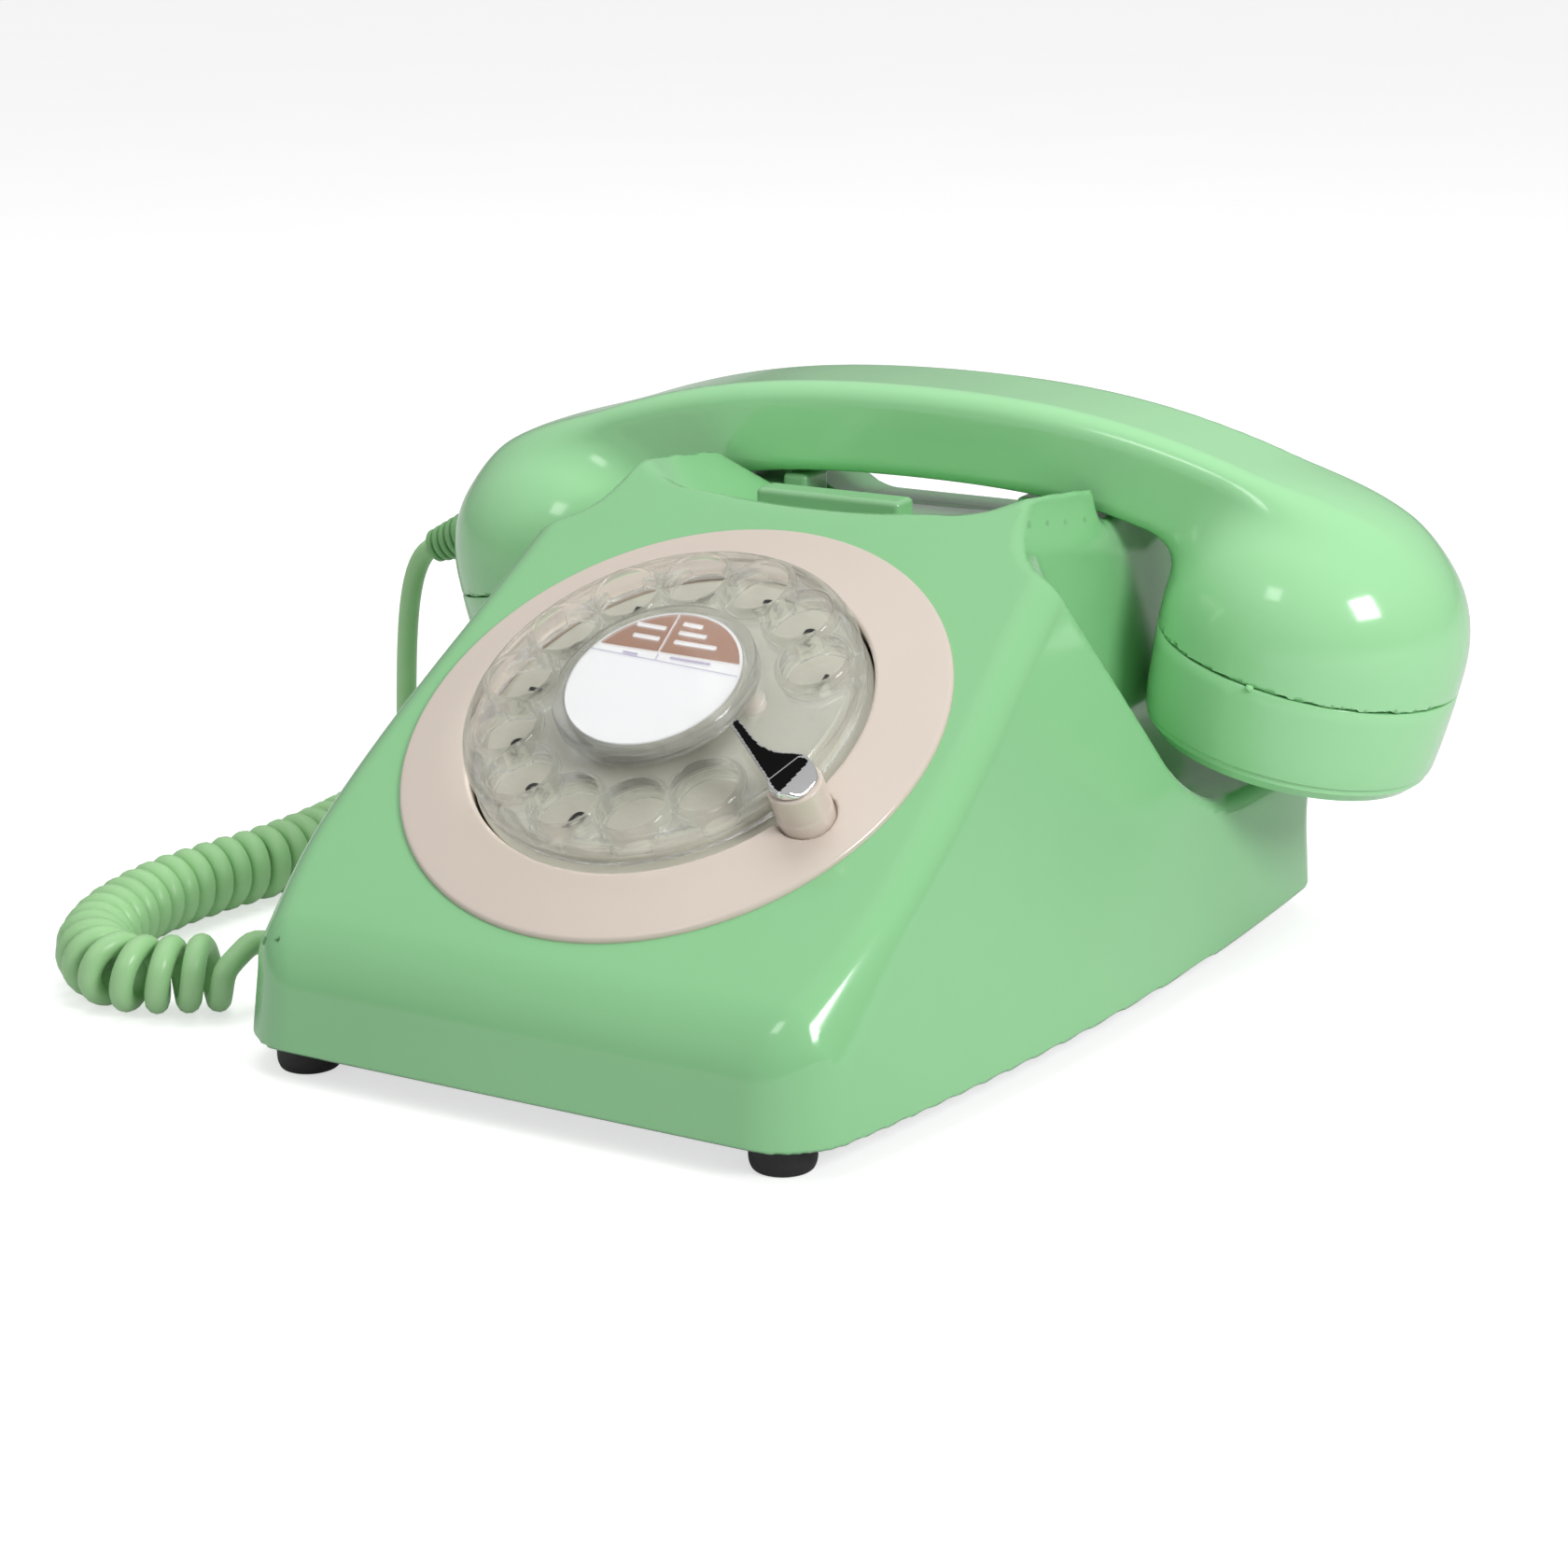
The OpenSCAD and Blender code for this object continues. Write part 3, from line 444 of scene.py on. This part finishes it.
def case_half_width(y, z):
    t = y - FRONT
    return 62 + 0.26 * t - 0.00082 * t * t - np.polyval(lean_terms, y) * (z - FOOT_H)


def case_top(x, y, z):
    """Inside below the horns, the saddle between them and the shoulders."""
    level = z + 0.17 * (np.minimum(y, 2 * HANDSET_Y - y) - 21)
    saddle = (level - 92.5 - 8.1 * (x / 44) ** 2.45) * 0.93
    flank = x - 45.0 - (100 - level) * 0.19
    shoulder = (level - 91.1 + 0.568 * (x - 46.8)) * 0.87
    return join_round(1.6, saddle, add_round(5, flank, shoulder))


def trough(x, y, z):
    """The hollow that the cradle switch bar and the handle lie in."""
    flank_slope = np.where(y > HANDSET_Y, 0.744, 0.441)
    over = (x - 24) * flank_slope
    rise = np.maximum(over, 0) + np.maximum(3 - np.abs(over), 0) ** 2 / 12
    floor = (90 - 0.11 * (y - 17) + rise - z) * 0.93
    return join_round(3, floor, 17 - y)


def scoop(x, y, z):
    front = (5 - y) * COSS + (88 - z) * SINS
    neck = 48.6 + (88 - z) * 0.10 - x
    return join_round(13, front, SHELF_Z - z, neck)


def case_body(x, y, z):
    side = (x - case_half_width(y, z)) / 1.03
    front = FRONT + 0.12 * (z - FOOT_H) - y
    face = (z - FACE_Z) * COSS - (y - FACE_Y) * SINS
    rear = y - REAR + 0.03 * (z - FOOT_H)
    t = np.clip((42 - z) / 24, 0, 1)
    corner = 5.5 + 6.5 * t * t * (3 - 2 * t)
    body = join_round(corner, side, join_round(7, front, face), rear)
    body = join_round(1.6, body, case_top(x, y, z))
    body = join_round(1.4, body, -trough(x, y, z))
    channel = join_round(2, 52.6 - y, y - 83.4, DECK_Z - z)
    body = join_round(1.6, body, -channel)
    body = join_round(3.2, body, -scoop(x, y, z))
    recess = join_round(8, x - 38, 68 - y, 44 - z, z - 73)
    return join_round(2, body, -recess)


def case_field(x, y, z):
    left = x
    x = np.abs(x)
    body = case_body(x, y, z)
    shell = np.maximum(join_round(0.8, body, FOOT_H - z), -(body + WALL))
    rise = (z - FACE_Z) * COSS - (y - FACE_Y) * SINS
    across = np.hypot(x, (y - FACE_Y) * COSS + (z - FACE_Z) * SINS)
    opening = np.maximum(across - 43.5, np.abs(rise) - 12)
    shell = join_round(0.4, shell, -opening)
    for hole in (block(x, y, z, (-17.3, 20.2, 70), (17.3, 28.8, 110)),
                 block(x, y, z, (24.3, 56.3, 70), (31.7, 67.7, 110)),
                 block(x, y, z, (-7.8, 87, 11.7), (7.8, 99, 24.3)),
                 block(-left, y, z, (60, -70, 8.7), (90, -60, 17))):
        shell = join_round(0.4, shell, -hole)
    return shell


def make_case():
    implicit("case_shell_skin", case_field, (-85, -100, 5.5), (85, 94.5, 101), 1.35, "case", "case_green",
             ["case_shell"])


# ---------- the handset ----------
handle_top = even_fit([(0, 111.7), (18, 111.3), (32, 110.2), (45, 108.3), (58, 105.8), (70, 102.4),
                       (82, 98.2), (92, 93.8), (104, 87), (112, 80)], 4)
handle_low = even_fit([(0, 92), (18, 91.6), (30, 90.9), (42, 89.1), (50, 87.2), (60, 84), (70, 79.5),
                       (85, 71), (100, 61)], 3)


def cup_frame(x, y, z):
    """Distances from a cup's axis and along it from its seam, for the right half."""
    dx, dz = x - CAP_X, z - CAP_Z
    along = dx * math.sin(CAP_TILT) + dz * math.cos(CAP_TILT)
    side = dx * math.cos(CAP_TILT) - dz * math.sin(CAP_TILT)
    return np.hypot(side, y - HANDSET_Y), along


def cup_dome(radius, along, inset):
    up = np.maximum(along - 4, 0) / (28.6 - inset)
    out = radius / (31.4 - inset)
    low = (radius - 31.4 + inset) - np.minimum(along - 4, 0) * 0.012
    dome = ((out ** 2.2 + up ** 2.2) ** (1 / 2.2) - 1) * (29.5 - inset)
    return np.where(along > 4, dome, low)


def handset_field(x, y, z):
    x = np.abs(x)
    top, low = handle_top(x), handle_low(x)
    tilt = (handle_top(x + 0.5) - handle_top(x - 0.5))
    upper = (z - top) / np.sqrt(1 + tilt ** 2)
    lower = (low - z) / np.sqrt(1 + (handle_low(x + 0.5) - handle_low(x - 0.5)) ** 2)
    taper = np.maximum(x - 72, 0) ** 2 * 0.0042
    side = np.abs(y - HANDSET_Y) - 14.2 - 0.125 * (z - (top + low) / 2) + taper
    handle = join_round(3.2, join_round(5.0, side, upper), lower)
    handle = join_round(9, handle, x - 112)
    radius, along = cup_frame(x, y, z)
    whole = melt(8, handle, cup_dome(radius, along, 0))
    whole = join_round(0.25, whole, -along)
    return np.maximum(whole, -np.maximum(cup_dome(radius, along, WALL), -along - 5))


def make_handset():
    implicit("handset_shell_skin", handset_field, (-119.5, 36, 50), (119.5, 100, 113), 1.35, "handset",
             "handset_green", ["handset_shell"])
    for side, ring, face in ((1, "ear_ring", "ear_face"), (-1, "mouth_ring", "mouth_face")):
        place = Matrix.Translation((side * CAP_X, HANDSET_Y, CAP_Z))
        place = place @ Matrix.Rotation(side * CAP_TILT, 4, "Y")
        profile = [(28.5, -0.1), (28.5, -16.4), (28.8, -17.25), (29.5, -17.5), (30.0, -17.2), (30.25, -16.2),
                   (30.7, -12), (31.05, -7), (31.28, -3), (31.32, -0.4), (31.15, -0.12), (28.5, -0.1)]
        lathe(f"{ring}_skin", profile, "handset", "handset_green", [ring], place)
        nub_profile = [(0.01, -0.7), (0.7, -0.5), (0.9, 0), (0.7, 0.5), (0.01, 0.7)]
        nub_place = place @ Matrix.Translation((0, -31.1, -0.1))
        nub = lathe(f"{ring}_nub", nub_profile, "handset", "handset_green", [], nub_place, 16)
        nub.data.shade_smooth()
        frame["nodes"][face].data.materials.clear()
        frame["nodes"][face].data.materials.append(materials["handset_green"])


def make_relief():
    """The ribbed boot on the cord where it leaves the handset."""
    axis = Vector((-0.93, 0, -0.3676)).normalized()
    tip = Vector((-131.4, HANDSET_Y, 61.55))
    place = Matrix.Translation(tip) @ axis.to_track_quat("Z", "Y").to_matrix().to_4x4()
    profile = [(0.01, -15), (5.2, -15)]
    for i in range(5):
        z, r = -10.6 + i * 2.25, 5.3 - i * 0.34
        profile += [(r - 0.15, z - 0.05), (r, z + 0.2), (r, z + 1.0), (r - 0.15, z + 1.2), (r - 1.3, z + 1.3),
                    (r - 1.35, z + 2.0)]
    profile += [(3.6, -0.3), (3.3, 0), (0.01, 0)]
    return lathe("cord_boot", profile, "handset", "relief_green", ["cord_relief"], place, 48)


# ---------- the cord ----------
LEAD = [(-131.7, 68, 61.4), (-134.4, 68, 59.8), (-137.4, 68, 54.5), (-139.4, 68, 47), (-140.6, 68, 38),
        (-141, 67.5, 28), (-140.4, 66, 18.5), (-138, 62.5, 10), (-134.5, 57.5, 4.8), (-130.5, 51.5, 2.7),
        (-127, 45.5, 2.4), (-124.6, 39, 2.4)]
COIL = [(x, y, COIL_D / 2) for x, y in
        ((-124, 39), (-122, 21), (-121, 5), (-122, -11), (-125, -25), (-127, -40), (-126, -53),
         (-123, -64), (-117.5, -74), (-110, -80.5), (-102, -82.5), (-95, -80.2), (-89, -76.2), (-84, -72.5))]
TO_PLUG = [(-84, -72.5, 14), (-81.6, -69.6, 14.2), (-79, -66.8, 13.4), (-76, -65, 12.4)]


def curve_through(points, spacing):
    """Evenly spaced points on the smooth curve through the given points."""
    p = np.array([points[0], *points, points[-1]], float)
    fine = []
    for a, b, c, d in zip(p, p[1:], p[2:], p[3:]):
        t = np.linspace(0, 1, 40, endpoint=False)[:, None]
        fine.append(0.5 * (2 * b + (c - a) * t + (2 * a - 5 * b + 4 * c - d) * t ** 2
                           + (3 * b - a - 3 * c + d) * t ** 3))
    fine = np.concatenate([*fine, p[-1:]])
    far = np.concatenate([[0], np.cumsum(np.linalg.norm(np.diff(fine, axis=0), axis=1))])
    even = np.linspace(0, far[-1], max(2, round(far[-1] / spacing)))
    return np.stack([np.interp(even, far, fine[:, i]) for i in range(3)], 1), even


def spaced(line, spacing):
    """The same line with evenly spaced points."""
    far = np.concatenate([[0], np.cumsum(np.linalg.norm(np.diff(line, axis=0), axis=1))])
    even = np.arange(0, far[-1], spacing)
    return np.stack([np.interp(even, far, line[:, i]) for i in range(3)], 1)


def helix_line():
    """The curly part: close turns on the first stretch, and slightly more open ones towards the plug."""
    line, far = curve_through(COIL, 0.25)
    opened = CLOSE_LENGTH / CLOSE_PITCH + (far - CLOSE_LENGTH) / OPEN_PITCH
    turns = np.where(far < CLOSE_LENGTH, far / CLOSE_PITCH, opened)
    ahead = np.gradient(line, axis=0)
    ahead /= np.linalg.norm(ahead, axis=1)[:, None]
    up = np.array([0.0, 0.0, 1.0])
    across = np.cross(ahead, up)
    angle = turns * 2 * math.pi
    radius = (COIL_D - CORD_D) / 2
    swing = -np.cos(angle)[:, None] * up + np.sin(angle)[:, None] * across
    return spaced(line + radius * swing, CORD_STEP)


def tube(name, line, radius, sides, body, material):
    """A round tube swept along a line."""
    ahead = np.gradient(line, axis=0)
    ahead /= np.linalg.norm(ahead, axis=1)[:, None]
    side = np.cross(ahead[0], (0.3, 1, 0.2))
    rings = []
    angles = np.arange(sides) * 2 * math.pi / sides
    for point, along in zip(line, ahead):
        side = side - side.dot(along) * along
        side /= np.linalg.norm(side)
        other = np.cross(along, side)
        rings.append(point + radius * (np.cos(angles)[:, None] * side + np.sin(angles)[:, None] * other))
    faces = [tuple(range(sides))[::-1]]
    for k in range(len(line) - 1):
        for i in range(sides):
            j = (i + 1) % sides
            faces.append((k * sides + i, k * sides + j, (k + 1) * sides + j, (k + 1) * sides + i))
    faces.append(tuple((len(line) - 1) * sides + i for i in range(sides)))
    return piece(name, np.concatenate(rings), faces, body, material)


def make_cord():
    lead, _ = curve_through(LEAD, 1.5)
    end, _ = curve_through(TO_PLUG, 1.5)
    spiral = helix_line()
    line = spaced(np.concatenate([lead[:-4], spiral[3:-3], end[3:]]), CORD_STEP)
    for _ in range(2):
        line[1:-1] = 0.25 * line[:-2] + 0.5 * line[1:-1] + 0.25 * line[2:]
    cord = tube("curly_cord_skin", line, CORD_D / 2, 12, None, "cord_green")
    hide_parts("handset_lead", "curly_cord", "base_lead")
    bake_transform(cord)
    length = float(np.linalg.norm(np.diff(line, axis=0), axis=1).sum()) * MM
    return cord, line * MM, length


# ---------- the dial ----------
def bezel_field(x, y, h):
    across = np.hypot(x, y)
    top = 0.9 + (BEZEL_H - 0.9) * np.clip((BEZEL_R - across) / (BEZEL_R - WELL_R), 0, 1)
    ring = join_round(0.8, across - BEZEL_R, h - top, WELL_R - across)
    ring = np.maximum(ring, -1.4 - h)
    sleeve = join_round(0.3, across - 42.1, WELL_R - across, h - 1, -6 - h)
    ring = np.minimum(ring, sleeve)
    a = math.radians(STOP_ANGLE)
    post = np.hypot(x - STOP_R * math.cos(a), y - STOP_R * math.sin(a))
    return join_round(0.35, ring, -join_round(0.3, post - 5.75, 1.4 - h))


def post_field(x, y, h):
    """The finger stop's post, hollowed on the dial's side where the wheel passes it."""
    across = np.hypot(x + STOP_R, y)
    radius = np.hypot(x, y) - 5.35 - 0.12 * np.clip((4.6 - h) / 0.6, 0, 1)
    return join_round(0.35, radius, WELL_R - across, h - 10.8, 0.6 - h)


def wheel_field(x, y, h):
    across = np.hypot(x, y)
    disc = join_round(1.9, across - WHEEL_R, h - WHEEL_TOP)
    disc = join_round(0.4, disc, 7.4 - h)
    rim = join_round(0.5, across - WHEEL_R, WHEEL_R - 2.1 - across, h - 8.2, RIM_LOW - h)
    wheel = add_round(0.6, disc, rim)
    hub = join_round(0.4, across - 6.8, 1 - h, h - 8)
    wheel = np.minimum(wheel, hub)
    angle = np.degrees(np.arctan2(y, x)) % 360
    slot_no = np.clip(np.round((angle - FIRST_HOLE) / HOLE_STEP), 0, 11)
    holes = np.full_like(across, 99.0)
    for shift in (-1, 0, 1):
        a = np.radians(FIRST_HOLE + np.clip(slot_no + shift, 0, 11) * HOLE_STEP)
        gap = np.hypot(x - FINGER_CIRCLE_R * np.cos(a), y - FINGER_CIRCLE_R * np.sin(a))
        holes = np.minimum(holes, gap)
    collar = join_round(0.45, holes - FINGER_R - 0.95, h - 10.6, COLLAR_LOW - h)
    wheel = add_round(0.5, wheel, collar)
    wheel = join_round(0.4, wheel, FINGER_R - holes)
    return join_round(0.3, wheel, 3.02 - across)


def blade_edges(x):
    """The blade's lower and upper edges along its length, from its post towards the wheel's middle."""
    low = 1.4 - (x + 20.4) * 0.279
    high = np.interp(x, [-20.4, -19, -17, -15, -13, -11, -9, -7, -5.3, -3.9, -2.5, -1.5, 2],
                     [3.15, 3.1, 2.75, 2.2, 1.8, 1.6, 1.75, 2.25, 3.15, 4.15, 4.85, 5.0, 4.2])
    return low, high


def stop_field(x, y, h):
    """The finger stop: a flat blade with one straight and one hollow edge, bent down over its post."""
    low, high = blade_edges(x)
    end = (x - 1.3) * 0.97 + (y - 0.3) * 0.2
    outline = join_round(0.8, low - y, y - high, -20.4 - x, end)
    flat = join_round(0.35, outline, h - 13.0, 11.7 - h)
    drop = h - 13.0 + (x - 2.0) * 0.8 + y * 0.15
    cap = join_round(0.5, np.hypot(x, y) - 4.7, drop, h - 13.0, 10.9 - h, -2.5 - x)
    return add_round(0.3, flat, cap)


def make_dial_fixed():
    place = dial_matrix()
    implicit("bezel_ring", bezel_field, (-56, -56, -6.5), (56, 56, 4), 0.55, "case", "bezel_cream",
             ["dial_bezel"], place)
    stop_place = on_dial(STOP_ANGLE, STOP_R)
    implicit("stop_post", post_field, (-6, -6, 0), (6, 6, 11.2), 0.35, "case", "bezel_cream", [],
             stop_place)
    blade = implicit("finger_stop_blade", stop_field, (-21, -5, 10.5), (6, 6, 13.3), 0.28, "case",
                     "chrome_steel", ["finger_stop"], stop_place)
    # the blade's flat top gets a painted dark reflection
    paint_dark_reflection_on_top(blade)
    plate = rounded([(8, -1), (39.8, -1), (39.8, 1), (36.6, 1), (36.2, PLATE_TOP), (8, PLATE_TOP)], 0.3)
    plate = [*plate[:-1], (8, PLATE_TOP), plate[0]]
    lathe("number_plate_disc", plate, "case", "plate_grey", ["number_plate"], place)
    boss = rounded([(0.01, PLATE_TOP), (2.4, PLATE_TOP), (2.4, 4.3), (0.01, 4.45)], 0.2)
    boss_place = place @ Matrix.Translation((18.0, 3.4, 0))
    lathe("plate_boss", boss, "case", "bezel_cream", [], boss_place, 32)


def paint_dark_reflection_on_top(blade):
    """The blade's flat top gets a near-black chrome inside its bright edges: a painted dark reflection."""
    blade.data.materials.append(materials["painted_dark_reflection"])
    up = Vector((0, -SINS, COSS))
    for face in blade.data.polygons:
        if face.normal.dot(up) > 0.995:
            face.material_index = 1


def make_digits():
    """Generic numbers on the plate under the finger holes."""
    for i, mark in enumerate("1234567890"):
        angle = math.radians(FIRST_HOLE + i * HOLE_STEP)
        text = bpy.data.curves.new(f"digit_{i}", "FONT")
        text.body = mark
        text.size = 6.4 * MM
        text.align_x = "CENTER"
        text.align_y = "CENTER"
        text.offset = 0.16 * MM
        holder = bpy.data.objects.new(f"digit_{i}", text)
        bpy.context.scene.collection.objects.link(holder)
        bpy.context.view_layer.update()
        mesh = bpy.data.meshes.new_from_object(holder)
        bpy.data.objects.remove(holder)
        spot = Matrix.Translation((FINGER_CIRCLE_R * math.cos(angle), FINGER_CIRCLE_R * math.sin(angle),
                                   PLATE_TOP + 0.22))
        place = dial_matrix() @ spot
        place.translation *= MM
        mesh.transform(place)
        mesh.materials.clear()
        mesh.materials.append(materials["print_black"])
        digit = bpy.data.objects.new(f"plate_digit_{i}", mesh)
        bpy.context.scene.collection.objects.link(digit)
        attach(digit, "case")


def flat_print(name, outline, h, material):
    """A printed patch on the label: an outline in the dial's plane, a little above the card."""
    turn = dial_matrix()
    points = [tuple(turn @ Vector((x, y, h))) for x, y in outline]
    return piece(name, points, [tuple(range(len(points)))], "dial", material, smooth=False)


def arc_points(radius, start, end, steps):
    turns = [math.radians(start + (end - start) * i / steps) for i in range(steps + 1)]
    return [(radius * math.cos(turn), radius * math.sin(turn)) for turn in turns]


def make_label():
    """The card's prints, with plain bars in place of its words."""
    upper = LABEL_H + PRINT_STEP
    flat_print("label_brown", arc_points(16.9, 21, 156, 40), LABEL_H, "print_brown")
    left, right = -17.0, 16.9
    left_h, right_h = 4.1 - 0.065 * left, 4.1 - 0.065 * right
    rule = [(left, left_h + 0.1), (left, left_h - 0.18), (right, right_h - 0.18), (right, right_h + 0.1)]
    flat_print("label_rule", rule, LABEL_H, "print_lilac")
    divider = [(-2.75, 16.6), (-2.4, 16.6), (-1.9, 6.2), (-2.25, 6.2)]
    flat_print("label_divider", divider, upper, "label_white")
    low_divider = [(-2.0, 5.9), (-1.7, 5.9), (-1.6, 4.2), (-1.9, 4.2)]
    flat_print("label_divider_low", low_divider, upper, "print_lilac")
    bars = [(-10.2, 12.4, 6.6), (-9.6, 9.5, 6.0), (-0.6, 13.9, 4.4), (-0.4, 11.5, 6.2), (-0.2, 9.0, 9.4)]
    for i, (x, y, wide) in enumerate(bars):
        bar = [(x, y), (x + wide, y - 0.3), (x + wide, y + 0.75), (x, y + 1.05)]
        flat_print(f"label_bar_{i}", bar, upper, "label_white")
    for i, (x, wide) in enumerate([(-9.5, 3.4), (1.0, 9.0)]):
        bar = [(x, 5.0), (x + wide, 4.75), (x + wide, 5.4), (x, 5.65)]
        flat_print(f"label_small_bar_{i}", bar, upper, "print_lilac")


def make_dial_turning():
    place = dial_matrix()
    implicit("finger_wheel_clear", wheel_field, (-40, -40, 0.8), (40, 40, 10.8), 0.4, "dial",
             "clear_plastic", ["finger_wheel"], place)
    cover = [(17.9, 10.05), (20.3, 10.05), (20.3, 12.7), (19.7, 13.5), (17.2, 13.8), (0.01, 13.9)]
    cover = [(0.01, 12.95), (17.9, 12.95), *rounded(cover, 0.3)]
    lathe("label_cover_clear", cover, "dial", "clear_plastic", ["label_cover"], place)
    drum = rounded([(0.01, 10.03), (17.7, 10.03), (17.7, 12.45), (0.01, 12.5)], 0.2)
    lathe("hub_drum", drum, "dial", "hub_grey", ["hub_cup"], place)
    card = [(0.01, 12.55), (17.4, 12.55), (17.4, 12.82), (0.01, 12.82)]
    lathe("label_disc", card, "dial", "label_white", ["label_card"], place)


# ---------- cradle switch, feet, plug ----------
def hook_field(x, y, z):
    bar = block(x, y, z, (-16.6, 21, 76), (16.6, 28, 95), 1.1)
    stem = block(x, y, z, (-8, 24, 72), (8, 62, 75), 0.5)
    cross = block(x, y, z, (-31, 57, 72), (31, 67, 75), 0.5)
    pad = block(np.abs(x), y, z, (25, 57, 72), (31, 67, 90.2), 1.0)
    neck = block(x, y, z, (-8, 23, 72), (8, 27, 80), 0.5)
    return np.minimum.reduce([bar, stem, cross, pad, neck])


def make_small_pieces():
    implicit("hook_bar_skin", hook_field, (-32, 20, 71.5), (32, 68, 95.5), 0.7, "hook", "hook_green",
             ["hook_bar"])
    profile = [(0.01, 0.45), (3.4, 0.45), (3.8, 0.0), (5.6, 0.0), (6.2, 1.6), (6.3, 6.35), (0.01, 6.35)]
    profile = rounded(profile, 0.7)
    for i, (x, y) in enumerate([(-52, -89), (52, -89), (-70, 63), (70, 63)]):
        foot = lathe(f"foot_{i}", profile, "case", "black_rubber", [], Matrix.Translation((x, y, 0)), 48)
        if i == 0:
            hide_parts("feet")
    plug_low, plug_high = (-76, -68.8, 9.6), (-60, -61.2, 15.2)

    def plug_field(x, y, z):
        shell = block(x, y, z, plug_low, plug_high, 0.5)
        channel = block(x, y, z, (-77, -66.9, 11.2), (-68, -63.1, 13.8), 0.4)
        return join_round(0.2, shell, -channel)

    plug = implicit("cord_plug_clear", plug_field, plug_low, plug_high, 0.4, "case", "clear_plastic",
                    ["cord_plug"])
    for i in range(4):
        x, y = -63.5, -67.4 + i * 1.7
        points = list(itertools.product((x, x + 3), (y, y + 0.5), (13.2, 15.0)))
        faces = [(0, 1, 3, 2), (4, 6, 7, 5), (0, 4, 5, 1), (2, 3, 7, 6), (0, 2, 6, 4), (1, 5, 7, 3)]
        piece(f"plug_contact_{i}", points, faces, "case", "brass_parts", smooth=False)
    return plug


def dress_cad_nodes():
    """Every CAD node that still shows takes its slot's material."""
    slots = {s["node"]: s["material_slot"] for s in frame["record"]["subparts"]}
    for name, node in frame["nodes"].items():
        node.data.materials.clear()
        node.data.materials.append(materials[slots[name]])
        for polygon in node.data.polygons:
            polygon.material_index = 0


materials = {}
make_camera()
materials.update(make_materials())
dress_cad_nodes()
cord, cord_path, cord_length = make_cord()
make_studio()
make_case()
make_handset()
boot = make_relief()
make_dial_fixed()
make_digits()
make_dial_turning()
make_label()
plug = make_small_pieces()
